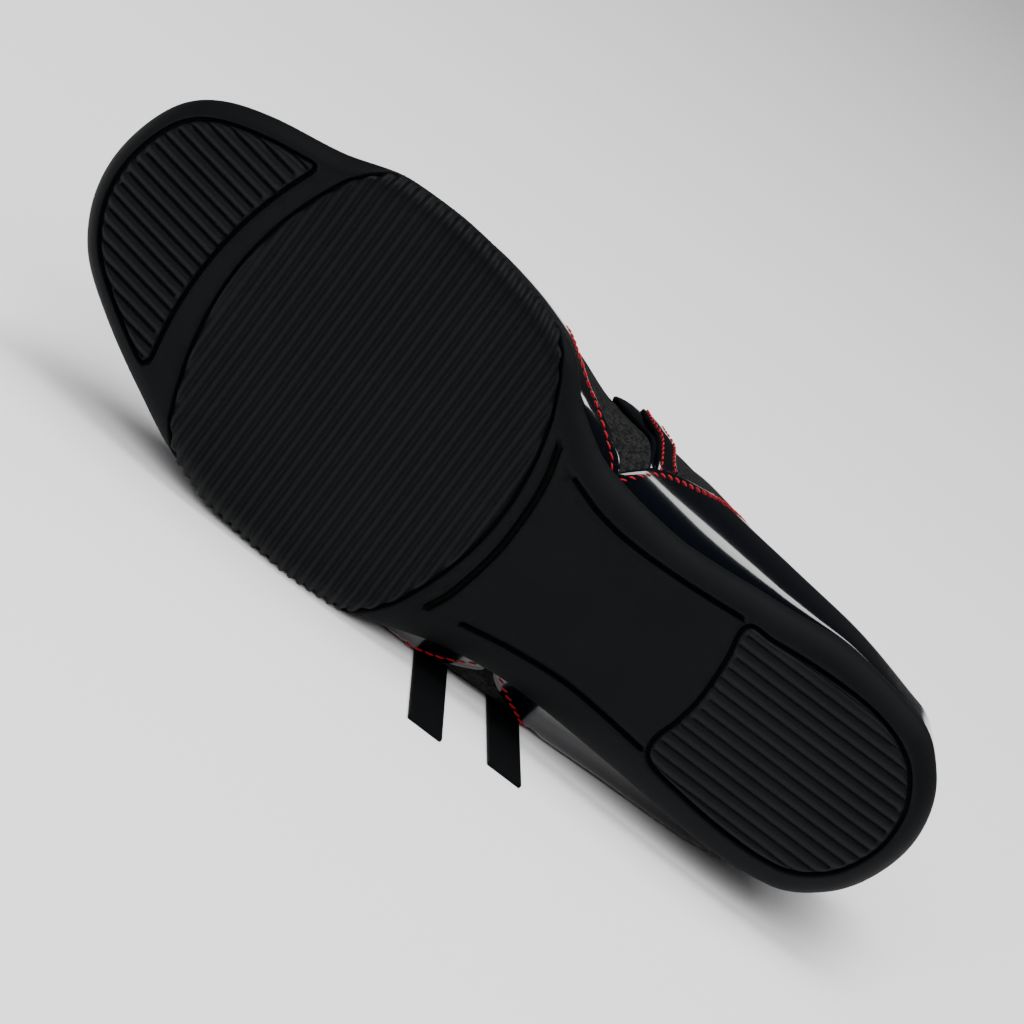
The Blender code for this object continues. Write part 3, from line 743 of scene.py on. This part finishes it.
TOPLINE = np.array([
    # x, medial, lateral, height, crown angle of the wall, its reach
    (5.0, 2.0, 2.0, 70.0, -6.0, 0.36),
    (12.0, 14.5, -14.5, 67.5, -4.0, 0.36),
    (30.0, 23.6, -25.0, 60.5, 4.0, 0.36),
    (50.0, 28.2, -28.5, 55.0, 4.0, 0.36),
    (74.0, 29.4, -31.0, 53.5, 2.0, 0.36),
    (90.0, 30.0, -33.0, 60.0, 6.0, 0.36),
    (103.0, 28.6, -30.0, 74.0, 16.0, 0.36),
    (114.0, 25.5, -24.5, 81.0, 28.0, 0.36),
    (132.0, 20.5, -18.5, 79.0, 42.0, 0.36),
    (150.0, 17.0, -14.0, 71.0, 60.0, 0.32),
    (172.0, 1.0, 1.0, 61.0, 90.0, 0.44),
    (200.0, 0.8, 0.8, 51.0, 90.0, 0.52),
    (230.0, 0.0, 0.0, 44.0, 90.0, 0.55),
    (256.0, -0.8, -0.8, 38.5, 90.0, 0.55),
])
THROAT_END = 172.0
THROAT_ROUND = 150.0
BELLY_SHARE = 0.25
WALL_RISE = 0.42
SEAM_INSET = 0.6
STRAP_THICK = 1.4
STRAP_GAP = 0.6
STRAP_ROOM_SPAN = (86.0, 94.0, 148.0, 160.0)
WALL_SPAN = 60.0
CLOTH_SPAN = 74.0
BASE_FACE = -0.4
LINING_FACE = -2.0
FLOOR_GAP = 0.05
THROAT_ROWS = 110
TOE_ROWS = 66
CREASES = [
    # side, distance from the heel and share up the wall at both ends, depth, half width
    (1, (196.0, 0.10), (178.0, 0.95), 0.45, 6.5),
    (1, (212.0, 0.12), (200.0, 0.98), 0.30, 7.0),
    (-1, (192.0, 0.12), (176.0, 0.95), 0.45, 6.5),
    (-1, (210.0, 0.14), (198.0, 0.98), 0.30, 7.0),
    (1, (96.0, 0.30), (62.0, 0.45), 0.10, 9.0),
    (1, (70.0, 0.62), (40.0, 0.55), 0.10, 8.0),
    (1, (30.0, 0.25), (14.0, 0.60), 0.15, 7.0),
    (-1, (92.0, 0.40), (60.0, 0.55), 0.40, 5.0),
]


def strap_room(x):
    start, full, ease, end = STRAP_ROOM_SPAN
    return (STRAP_THICK + STRAP_GAP) * smoothstep(start, full, x) * (1 - smoothstep(ease, end, x))


def upper_station(x):
    """Station whose wall meets the topline at a distance from the heel."""
    return station(x, TOPLINE[0, 0], TOPLINE[-1, 0])


def topline(side, s):
    """Upper end of the wall at station s: collar, throat edge or toe ridge."""
    x = along(s, TOPLINE[0, 0], TOPLINE[-1, 0])
    column = TOPLINE[:, 1] if side > 0 else TOPLINE[:, 2]
    ridge = row_at(TOPLINE[TOPLINE[:, 0] >= THROAT_END], 1, x)
    collar_rows = TOPLINE[:, 0] <= THROAT_ROUND
    collar = curve(upper_station(TOPLINE[collar_rows, 0]), column[collar_rows], s)
    share = np.clip((THROAT_END - x) / (THROAT_END - THROAT_ROUND), 0, 1)
    y = ridge + (collar - ridge) * np.sqrt(share)
    return np.stack([x, y, row_at(TOPLINE, 3, x)], -1)


def upper_point(side, s, t):
    """Outer face of the upper: t runs from 0 at the sole seam, past the belly, to 1 at the topline."""
    s = np.asarray(s, float)
    t = np.asarray(t, float)[..., None]
    normal = rim_normal(side, s)
    plan = rim(side, s) - normal * (TOP_INSET + SEAM_INSET)
    low = np.concatenate([plan, (seam_height(plan[..., 0]) + GAP)[..., None]], -1)
    high = topline(side, s)
    out, rise = (row_at(BELLY, column, along(s)) for column in ((1, 2) if side > 0 else (3, 4)))
    turn = np.clip(t / BELLY_SHARE, 0, 1) * math.pi / 2
    outward = np.concatenate([normal, np.zeros_like(normal[..., :1])], -1)
    upward = np.array([0.0, 0.0, 1.0])
    lower = low + outward * out[..., None] * np.sin(turn) + upward * rise[..., None] * (1 - np.cos(turn))
    belly = low + outward * out[..., None] + upward * rise[..., None]
    crown = np.radians(row_at(TOPLINE, 4, high[..., 0]))
    reach = row_at(TOPLINE, 5, high[..., 0]) * np.linalg.norm(high - belly, axis=-1)
    first = belly + upward * (WALL_RISE * (high - belly)[..., 2])[..., None]
    lean = outward * np.sin(crown)[..., None] - upward * np.cos(crown)[..., None]
    second = high + lean * reach[..., None]
    u = np.clip((t - BELLY_SHARE) / (1 - BELLY_SHARE), 0, 1)
    higher = ((1 - u) ** 3 * belly + 3 * (1 - u) ** 2 * u * first
              + 3 * (1 - u) * u**2 * second + u**3 * high)
    point = np.where(t < BELLY_SHARE, lower, higher)
    return press(point, strap_room(point[..., 0]))


def wall_normal(side, s, t):
    """Outward normal of one wall's face."""
    small = 0.006
    by_s = upper_point(side, np.minimum(s + small, 1), t) - upper_point(side, np.maximum(s - small, 0), t)
    by_t = upper_point(side, s, np.minimum(t + small, 1)) - upper_point(side, s, np.maximum(t - small, 0))
    return unit(side * np.cross(by_t, by_s))


THROAT_STATION = float(upper_station(THROAT_END))


def ridge_share(s, t):
    """How far a point belongs to both walls: 1 on the line where they join along the toe."""
    return smoothstep(0.85, 1.0, t) * (s >= THROAT_STATION - 1e-6)


def upper_normal(side, s, t):
    """Outward normal of the upper; both walls share it where they join along the toe."""
    s, t = np.broadcast_arrays(np.asarray(s, float), np.asarray(t, float))
    x = topline(side, s)[..., 0]
    rise = row_at(TOPLINE, 3, x + 1) - row_at(TOPLINE, 3, x - 1)
    ridge = unit(np.stack([-rise, np.zeros_like(rise), np.full_like(rise, 2.0)], -1))
    share = ridge_share(s, t)[..., None]
    return unit(wall_normal(side, s, t) * (1 - share) + ridge * share)


def crease(side, s, t):
    """Depth of the soft troughs worn and lasted into the wall."""
    plan = np.column_stack([along(s).ravel(), WALL_SPAN * t.ravel()])
    shared = ridge_share(s, t).ravel()
    depth = np.zeros(len(plan))
    for trough_side, start, end, deep, half in CREASES:
        line = np.array([(start[0], start[1] * WALL_SPAN), (end[0], end[1] * WALL_SPAN)])
        weight = 0.5 * shared + (1 - shared) * (trough_side == side)
        depth += weight * deep * np.exp(-(nearest(plan, line)[0] / half) ** 2)
    return depth.reshape(np.shape(s))


def upper_face(side, s, t, lift):
    """Place of points on the upper, raised by lift, kept off the floor that it lies on."""
    s, t = np.broadcast_arrays(np.asarray(s, float), np.asarray(t, float))
    raised = upper_point(side, s, t) + upper_normal(side, s, t) * (lift - crease(side, s, t))[..., None]
    return press(raised, FLOOR_GAP)


base_s = np.concatenate([
    np.linspace(0, THROAT_STATION, THROAT_ROWS), np.linspace(THROAT_STATION, 1, TOE_ROWS)[1:]])
base_t = np.linspace(0, 1, 41)
throat_row = THROAT_ROWS - 1
grid_s, grid_t = np.meshgrid(base_s, base_t, indexing="ij")
rows, columns = grid_s.shape
base_points, base_faces, base_cloth = [], [], []
for face in (BASE_FACE, LINING_FACE):
    walls = {side: upper_face(side, grid_s, grid_t, np.full(grid_s.shape, face)) for side in (-1, 1)}
    for part in (np.s_[0, :], np.s_[-1, :], np.s_[throat_row:, -1]):
        walls[-1][part] = walls[1][part] = 0.5 * (walls[-1][part] + walls[1][part])
    for side in (-1, 1):
        first = sum(len(p) for p in base_points)
        base_points.append(walls[side].reshape(-1, 3))
        base_cloth.append(np.column_stack([along(grid_s).ravel(), side * CLOTH_SPAN * grid_t.ravel()]))
        base_faces.extend(tuple(first + k for k in f) for f in grid_faces(rows, columns))
count = rows * columns
for wall in (0, 1):
    outer, inner = wall * count, (wall + 2) * count
    for i in range(rows - 1):
        for j, joined in ((0, True), (columns - 1, i < throat_row)):
            if joined:
                a, b = i * columns + j, (i + 1) * columns + j
                base_faces.append((outer + a, outer + b, inner + b, inner + a))

# Close black weave: soft-spun yarns about 0.8 mm apart that pass over and under each other, so it
# is matt; its colour has painted grey highlights on some of the yarn tops and painted shade between.
YARN_PITCH = 0.8
weave, weave_shader = new_material("close_black_weave", {
    "Roughness": 0.9, "IOR": 1.46, "Specular IOR Level": 0.3})
place = add(weave, "ShaderNodeUVMap", uv_map="cloth").outputs["UV"]
sockets = {"Vector": place, "Scale": 1 / (YARN_PITCH * MM), "Randomness": 0.7}
yarns = add(weave, "ShaderNodeTexVoronoi", sockets, voronoi_dimensions="2D").outputs
tops = add(weave, "ShaderNodeMath", {0: 1.0, 1: yarns["Distance"]}, operation="SUBTRACT").outputs[0]
# Yarn tops times a random share per yarn paint the colour: painted highlights on tops, painted shade in
# pits.
painted_glint = add(weave, "ShaderNodeSeparateColor", {"Color": yarns["Color"]}).outputs["Red"]
painted_glint_and_pit_shade = add(weave, "ShaderNodeMath", {0: tops, 1: painted_glint}, operation="MULTIPLY").outputs[0]
shade(weave, weave_shader, painted_glint_and_pit_shade, "#040405", "#242524")
emboss(weave, weave_shader, tops, 0.9, 0.25)
shoe_piece("woven_upper", np.concatenate(base_points), base_faces, weave, "upper",
           np.concatenate(base_cloth))

# Patent panels: vamp and quarter.
# Cut from 1 mm black patent, skived and folded at the edge, laid over the weave and sewn down.
# The vamp wraps the toe from seam to seam; the quarter runs round the heel in one piece.
PANEL_FACE = 0.6
PANEL_FOOT = BASE_FACE - 0.1
PANEL_EDGE = 1.8
PANEL_ROLL_LINES = (0.05, 0.15, 0.3, 0.45, 0.6, 0.8, 1.0, 1.3)
VAMP_EDGE = {
    # distance from the heel and share up the wall, from the sole to the throat
    1: [(121.5, 0.0), (125.5, 0.07), (131.5, 0.105), (137.0, 0.14), (142.0, 0.18), (147.0, 0.225),
        (158.0, 0.42), (173.0, 0.72), (188.0, 1.0)],
    -1: [(112.0, 0.0), (115.6, 0.07), (120.0, 0.105), (126.0, 0.145), (133.0, 0.185), (144.0, 0.25),
         (157.0, 0.44), (172.0, 0.72), (188.0, 1.0)],
}
QUARTER_EDGE = {
    1: [(125.5, 0.0), (121.5, 0.08), (118.0, 0.14), (113.5, 0.18), (107.5, 0.212), (101.0, 0.25),
        (96.0, 0.31), (93.0, 0.45), (91.5, 0.75), (90.0, 1.0)],
    -1: [(114.5, 0.0), (112.8, 0.06), (110.2, 0.10), (106.0, 0.14), (101.5, 0.19), (98.5, 0.26),
         (97.0, 0.45), (96.0, 0.76), (94.0, 1.0)],
}
walk_s = np.linspace(0, 1, 1201)
walk = {side: way_along(rim(side, walk_s)) for side in (-1, 1)}


def walked(side, s, from_toe):
    """Signed way walked round the sole's rim to a station, from the heel or from the toe."""
    way = np.interp(s, walk_s, walk[side])
    return side * (walk[side][-1] - way if from_toe else way)


def wall_plan(side, places, from_toe):
    """Flattened-out line of a panel from distances along the shoe and shares up the wall."""
    places = np.asarray(places, float)
    return np.column_stack([walked(side, station(places[:, 0]), from_toe), WALL_SPAN * places[:, 1]])


def panel_point(plan, lift, from_toe):
    """Place of a panel's flattened-out points on the upper."""
    out = np.empty((len(plan), 3))
    for side in (-1, 1):
        chosen = plan[:, 0] >= 0 if side > 0 else plan[:, 0] < 0
        way = np.abs(plan[chosen, 0])
        way = walk[side][-1] - way if from_toe else way
        s = np.interp(way, walk[side], walk_s)
        out[chosen] = upper_face(side, s, plan[chosen, 1] / WALL_SPAN, lift[chosen])
    return out


def panel_face(plan, free, outline, from_toe):
    """Outer face of a panel: level on the weave, and rolled down to it along the free edges."""
    within = np.column_stack([plan[:, 0], np.clip(plan[:, 1], 0.1, WALL_SPAN - 0.1)])
    gap = np.min([nearest(plan, edge)[0] for edge in free], axis=0) * inside(within, outline)
    lift = PANEL_FOOT + (PANEL_FACE - PANEL_FOOT) * quarter_round(gap / PANEL_EDGE)
    return panel_point(plan, lift, from_toe)


# Black patent: a thick clear lacquer over smooth dark leather. It is a near-mirror with a faint
# navy depth, and slow ripples in the lacquer bend the reflections.
PATENT_RIPPLE = 9.0
patent, patent_shader = new_material("black_patent_leather", {
    "Base Color": linear("#030509"), "Roughness": 0.16, "IOR": 1.5,
    "Coat Weight": 1.0, "Coat Roughness": 0.035, "Coat IOR": 1.55})
emboss(patent, patent_shader, noise(patent, PATENT_RIPPLE, 1.0), 0.10, 0.5, ("Normal", "Coat Normal"))

PANELS = (("vamp", VAMP_EDGE, True), ("quarter", QUARTER_EDGE, False))
panel_edges = {}
for name, edges, from_toe in PANELS:
    inner, outer = (smooth_line(wall_plan(side, edges[side], from_toe), 1.0) for side in (1, -1))
    panel_edges[name] = {1: inner, -1: outer}
    borders = {}
    for level, row in ((0.0, 0), (1.0, -1)):
        lines = []
        for side in (1, -1):
            s = np.linspace(station(edges[side][row][0]), 1.0 if from_toe else 0.0, 110)
            lines.append(np.column_stack([walked(side, s, from_toe), np.full(110, WALL_SPAN * level)]))
        borders[level] = np.concatenate([lines[0], lines[1][::-1][1:]])
    outline = np.concatenate([inner, borders[1.0][1:-1], outer[::-1], borders[0.0][::-1][1:]])
    outline[-1] = outline[0]
    free = [inner, outer]
    lines = []
    for side, edge in panel_edges[name].items():
        for share in PANEL_ROLL_LINES:
            line = beside(edge, side * PANEL_EDGE * share)
            lines.append(line[inside(line, outline)])
    plan, faces = patch(outline, lines, spacing=2.0, clearance=0.7)
    by_way, by_rise = (
        panel_face(plan + step, free, outline, from_toe) - panel_face(plan - step, free, outline, from_toe)
        for step in ((0.25, 0), (0, 0.25)))
    points = panel_face(plan, free, outline, from_toe)
    normals = np.nan_to_num(unit(np.cross(by_way, by_rise)))
    normals *= np.sign((normals * (points - points.mean(0))).sum())
    high = plan[:, 1] > 0.9 * WALL_SPAN
    bottom, top = (panel_point(plan[high], np.full(high.sum(), lift), from_toe) for lift in (0.0, 0.5))
    share = smoothstep(0.9, 1.0, plan[high, 1] / WALL_SPAN)[:, None]
    normals[high] = unit(normals[high] * (1 - share) + unit(top - bottom) * share)
    shoe_piece(name + "_patent", points, faces, patent, normals=normals)

# Collar binding.
# Flat black textile tape folded over the raw topline and sewn through, from one side of the
# throat round the heel to the other, in one piece.
BINDING_OUT = 0.95
BINDING_IN = -2.35
BINDING_DEPTH = 2.6
BINDING_CREST = 0.7
loop = []
for side, s in ((1, np.linspace(THROAT_STATION, 0, 260)), (-1, np.linspace(0, THROAT_STATION, 260)[1:])):
    t = np.ones(len(s))
    loop.append(np.column_stack([upper_point(side, s, t), upper_normal(side, s, t)]))


def soften(rows, times):
    """Averages neighbouring rows of a ring, which takes the sharp turns out of it."""
    for _ in range(times):
        rows = 0.25 * np.roll(rows, 1, 0) + 0.5 * rows + 0.25 * np.roll(rows, -1, 0)
    return rows


loop = soften(resample(np.concatenate(loop), 1.6)[:-1], 3)
loop, loop_out = loop[:, :3], unit(loop[:, 3:])
loop_run = unit(np.roll(loop, -1, 0) - np.roll(loop, 1, 0))
loop_up = unit(np.cross(loop_out, loop_run))
BINDING_SECTION = [
    # out of the wall, up past the raw edge
    (BINDING_OUT, -BINDING_DEPTH), (BINDING_OUT + 0.1, -0.9), (0.75, 0.1), (0.2, BINDING_CREST - 0.1),
    (-0.7, BINDING_CREST), (-1.6, BINDING_CREST - 0.1), (-2.15, 0.1), (BINDING_IN - 0.1, -0.9),
    (BINDING_IN, -BINDING_DEPTH), (-1.0, -BINDING_DEPTH),
]
binding = np.stack([loop + out * loop_out + high * loop_up for out, high in BINDING_SECTION], 1)
binding = np.concatenate([binding, binding[:1]])

# Black binding tape: tight grosgrain ribs about 0.6 mm apart, matt, a shade greyer than the weave.
TAPE_RIB = 0.6
tape, tape_shader = new_material("black_binding_tape", {
    "Base Color": linear("#151515"), "Roughness": 0.85, "IOR": 1.46,
    "Sheen Weight": 0.1, "Sheen Roughness": 0.4})
emboss(tape, tape_shader, noise(tape, TAPE_RIB, 2.0), 0.6, 0.1)
shoe_piece("collar_binding", press(binding, FLOOR_GAP).reshape(-1, 3),
           grid_faces(*binding.shape[:2], closed=True), tape)

# Tongue.
# Soft foam between two layers of the close weave, sewn to the vamp under the throat and standing
# loose above the collar, thinner at its rounded edges.
TONGUE_THICK = 4.0
TONGUE_EDGE_SHARE = 0.5
TONGUE_CENTRE = 1.0
TONGUE_ROUND = 3.0
TONGUE_TAPER = 16.0
TONGUE_TIP = 0.45
TONGUE_PUFF = 0.45
TONGUE = np.array([
    # x, height of the upper face, half width, fall to the edge
    (88.0, 97.0, 22.0, 7.0),
    (96.0, 90.0, 24.0, 7.0),
    (112.0, 80.5, 22.0, 6.0),
    (130.0, 73.5, 19.5, 5.0),
    (148.0, 66.0, 18.5, 4.0),
    (165.0, 60.8, 17.0, 3.0),
    (180.0, 55.0, 15.0, 2.5),
])
tongue_x = np.linspace(TONGUE[0, 0], TONGUE[-1, 0], 64)
tongue_high, tongue_half, tongue_fall = (row_at(TONGUE, k, tongue_x) for k in (1, 2, 3))
from_end = np.minimum(tongue_x - tongue_x[0], tongue_x[-1] - tongue_x)
round_end = quarter_round(from_end / TONGUE_ROUND)
narrow = 1 - TONGUE_TIP * (1 - quarter_round((tongue_x - tongue_x[0]) / TONGUE_TAPER))
tongue_rings = []
for turn in np.linspace(0, 2 * math.pi, 36, endpoint=False):
    share = math.cos(turn)
    thick = TONGUE_THICK * (1 - TONGUE_EDGE_SHARE * share**2) * round_end
    middle = tongue_high - tongue_fall * share**2 - 0.5 * TONGUE_THICK * (1 - TONGUE_EDGE_SHARE * share**2)
    puff = np.sign(math.sin(turn)) * abs(math.sin(turn)) ** TONGUE_PUFF
    tongue_rings.append(np.column_stack([
        tongue_x, TONGUE_CENTRE + tongue_half * narrow * share, middle + 0.5 * thick * puff]))
tongue_grid = np.stack(tongue_rings, 1)
tongue_points = tongue_grid.reshape(-1, 3)
tongue = shoe_piece("woven_tongue", tongue_points, grid_faces(*tongue_grid.shape[:2], closed=True),
                    weave, "tongue", tongue_points[:, :2])

# Straps.
# Two narrow straps of patent on a matt backing, sewn in under the inner quarter's front edge one
# over the other. They fan out over the throat; undone, their ends lie slack on the floor.
STRAP_HALF_WIDTH = 5.3
STRAP_ARCH = 5.0
STRAP_FLOOR_FRACTION = 0.30
STRAP_CORNER = 0.5
STRAP_CAMBER = 0.5
STRAP_SWELL = (4.0, 14.0)
STRAP_LEVEL = (60.0, 110.0)
STRAPS = {
    # x over the throat, under the outer wall and at the free end; reach of the end
    "strap_front": (133.0, 121.2, 110.3, 32.0),
    "strap_rear": (117.0, 99.9, 88.9, 22.7),
}
STRAP_RISE = {
    # front edge, then rear edge: distance from the heel, share up the wall, lift off the wall
    "strap_front": [
        (118.0, 0.115, -1.0, 112.5, 0.19, -1.0), (119.8, 0.15, -0.6, 115.0, 0.25, -0.8),
        (123.6, 0.23, 0.2, 118.0, 0.345, 0.0), (130.6, 0.33, 0.4, 123.5, 0.44, 0.7),
        (138.2, 0.42, 0.6, 130.0, 0.52, 1.9), (145.0, 0.58, 0.7, 136.0, 0.66, 2.6),
        (147.5, 0.80, 0.8, 137.5, 0.84, 2.0),
    ],
    "strap_rear": [
        (116.5, 0.13, -0.4, 111.2, 0.21, -0.6), (118.8, 0.17, 0.5, 113.4, 0.26, 0.1),
        (123.2, 0.25, 1.6, 117.4, 0.365, 1.0), (128.3, 0.335, 2.3, 122.0, 0.455, 1.3),
        (133.0, 0.44, 3.1, 126.3, 0.545, 1.5), (136.5, 0.58, 3.4, 128.5, 0.66, 1.5),
        (136.0, 0.82, 2.6, 126.0, 0.86, 1.4),
    ],
}


def on_wall(side, x, t):
    """Both edges of a strap that lies on the wall, given where it meets the topline."""
    s = upper_station(np.array([x + STRAP_HALF_WIDTH, x - STRAP_HALF_WIDTH]))
    t = np.full(2, t)
    return upper_point(side, s, t) + (STRAP_GAP + 0.5 * STRAP_THICK) * upper_normal(side, s, t)


def strap_edges(name):
    """Front and rear edge of one strap's middle face, row by row from its root to its free end."""
    over_x, under_x, end_x, reach = STRAPS[name]
    rows = []
    for row in STRAP_RISE[name]:
        s, t, lift = station(np.array(row[::3])), np.array(row[1::3]), np.array(row[2::3])
        rows.append(upper_point(1, s, t) + lift[:, None] * upper_normal(1, s, t))
    inner, outer = on_wall(1, over_x, 1.0), on_wall(-1, over_x, 1.0)
    for share in np.linspace(0, 1, 9):
        arch = np.array([0, 0, STRAP_ARCH * 4 * share * (1 - share)])
        rows.append(inner * (1 - share) + outer * share + arch)
    for share in np.linspace(0, 1, 12)[1:]:
        x, t = np.array([over_x, 1]) * (1 - share) + np.array([under_x, STRAP_FLOOR_FRACTION]) * share
        rows.append(on_wall(-1, x, t))
    last = rows[-1]
    for share in np.linspace(0, 1, 10)[1:]:
        point = last * (1, 1, 1 - share) + ((end_x - under_x) * share, 0, -reach * share)
        drop = rest(point)[:, 2] / MM - 0.5 * STRAP_THICK
        rows.append(point - drop[:, None] * FLOOR_NORMAL)
    rows = press(np.stack(rows), 0.5 * STRAP_THICK + FLOOR_GAP)
    edges = smooth_line(rows.reshape(len(rows), 6), 1.5).reshape(-1, 2, 3)
    edges[:, 1] = edges[:, 0] + 2 * STRAP_HALF_WIDTH * unit(edges[:, 1] - edges[:, 0])
    return edges


half_thick = STRAP_THICK / 2
STRAP_SECTION = [
    # across, in half widths; drawn in from the edge; height
    *((1.0, STRAP_CORNER * (1 - math.cos(turn)), half_thick - STRAP_CORNER * (1 - math.sin(turn)))
      for turn in np.linspace(0, math.pi / 2, 4)),
    (0.7, 0.0, half_thick), (0.35, 0.0, half_thick), (0.0, 0.0, half_thick),
]
STRAP_SECTION += [(-across, away, high) for across, away, high in STRAP_SECTION[-2::-1]]
STRAP_SECTION += [(across, away, -high) for across, away, high in STRAP_SECTION[::-1]]

# Matt strap backing: dense black microfibre felt, near black from every side. It lies under the
# patent and shows along the cut edges.
backing = new_material("black_microfibre_backing", {
    "Base Color": linear("#050607"), "Roughness": 0.85, "IOR": 1.45, "Specular IOR Level": 0.15})[0]

strap_faces = {}
for name in STRAPS:
    edges = strap_edges(name)
    middle = edges.mean(1)
    run = unit(np.gradient(middle, axis=0))
    wide = unit(edges[:, 0] - edges[:, 1])
    outward = unit(np.cross(run, wide))
    far = way_along(middle)
    camber = STRAP_CAMBER * smoothstep(*STRAP_SWELL, far) * (1 - smoothstep(*STRAP_LEVEL, far))
    grid = np.stack([middle + wide * (across * (STRAP_HALF_WIDTH - away))
                     + outward * (high + camber * (1 - across**2))[:, None]
                     for across, away, high in STRAP_SECTION], 1)
    ends = [np.broadcast_to(grid[k].mean(0), grid[k].shape)[None] for k in (0, -1)]
    grid = press(np.concatenate([ends[0], grid, ends[1]]), FLOOR_GAP)
    strap_faces[name] = (middle, wide, outward, camber)
    strap = shoe_piece(name + "_patent", grid.reshape(-1, 3), grid_faces(*grid.shape[:2], closed=True),
                       patent, name)
    strap.data.materials.append(backing)
    for face in strap.data.polygons:
        near = np.linalg.norm(rest(middle) - np.array(face.center), axis=1).argmin()
        if np.dot(face.normal, REST_TURN @ outward[near]) < 0.5:
            face.material_index = 1

# Red stitching.
# Twisted red polyester about 0.55 mm thick, two or three millimetres a stitch: a line inside each
# panel's front edge, laid aslant on the quarter, and one along each edge of the rear strap.
THREAD_RADIUS = 0.27
STITCH_INSET = 2.1
STITCH_START = 0.6
STRAP_STITCH_INSET = 1.5
STITCH_RISE = np.array([-0.20, 0.10, 0.18, 0.10, -0.20])
STITCH_TAPER = np.array([0.55, 1.0, 1.0, 1.0, 0.55])
THREAD_SIDES = 6
THREAD_PLY = 0.25
STITCHES = {
    # one stitch every so far, its length, its slant to the line
    "vamp": (3.0, 2.7, 0.12),
    "quarter": (2.6, 2.45, 0.40),
    "strap": (2.2, 1.6, 0.10),
}
stitch_points, stitch_faces = [], []


def stitch_ways(kind, length, left):
    """Way along a line, across it to the left or right and rise, for five points of each stitch."""
    pitch, stitch, slant = STITCHES[kind]
    at = np.arange(pitch / 2, length - pitch / 2, pitch)
    share = np.linspace(-0.5, 0.5, len(STITCH_RISE))
    way = at[:, None] + stitch * share * math.cos(slant)
    across = np.tile(left * stitch * share * math.sin(slant), len(at))
    return way.ravel(), across, np.tile(STITCH_RISE, len(at))


def sew(spine, outward):
    """Makes stitches round their points, five each, given the way out of the leather."""
    spine, outward = (rows.reshape(-1, len(STITCH_RISE), 3) for rows in (spine, outward))
    run = unit(np.gradient(spine, axis=1))
    level = unit(np.cross(run, outward))
    outward = np.cross(level, run)
    thick = THREAD_RADIUS * STITCH_TAPER[:, None]
    rings = np.stack([spine + thick * (math.cos(turn) * level + math.sin(turn) * outward)
                      for turn in np.linspace(0, 2 * math.pi, THREAD_SIDES, endpoint=False)], 2)
    points = len(STITCH_RISE) * THREAD_SIDES
    one = [*grid_faces(len(STITCH_RISE), THREAD_SIDES, closed=True), tuple(range(THREAD_SIDES - 1, -1, -1)),
           tuple(range(points - THREAD_SIDES, points))]
    first = sum(len(rows) for rows in stitch_points)
    stitch_points.append(rings.reshape(-1, 3))
    for k in range(len(spine)):
        stitch_faces.extend(tuple(first + points * k + corner for corner in face) for face in one)


for name, _, from_toe in PANELS:
    for side, edge in panel_edges[name].items():
        line = beside(edge, side * STITCH_INSET)
        line = resample(line[line[:, 1] > STITCH_START], 0.5)
        run = way_along(panel_point(line, np.full(len(line), PANEL_FACE), from_toe))
        way, across, rise = stitch_ways(name, run[-1], side)
        plan = at_way(line, run, way) + across[:, None] * at_way(beside(line, 1.0) - line, run, way)
        low, high = (panel_point(plan, PANEL_FACE + rise + step, from_toe) for step in (-0.2, 0.2))
        sew(0.5 * (low + high), unit(high - low))
middle, wide, outward, camber = strap_faces["strap_rear"]
run = way_along(middle)
inset = 1 - STRAP_STITCH_INSET / STRAP_HALF_WIDTH
face = middle + outward * (half_thick + camber * (1 - inset**2))[:, None]
for edge in (inset, -inset):
    way, across, rise = stitch_ways("strap", run[-1] - 1.0, 1)
    line = face + wide * edge * STRAP_HALF_WIDTH
    spine, out, left = (at_way(rows, run, way) for rows in (line, outward, wide))
    sew(press(spine + rise[:, None] * out + across[:, None] * left, FLOOR_GAP), out)

# Red polyester sewing thread: two plies twisted, a saturated red with a slight silky gloss.
thread, thread_shader = new_material("twisted_red_thread", {
    "Base Color": linear("#93101b"), "Roughness": 0.55, "IOR": 1.5, "Specular IOR Level": 0.3})
emboss(thread, thread_shader, noise(thread, THREAD_PLY, 1.0), 0.5, 0.08)
shoe_piece("red_stitching", np.concatenate(stitch_points), stitch_faces, thread)
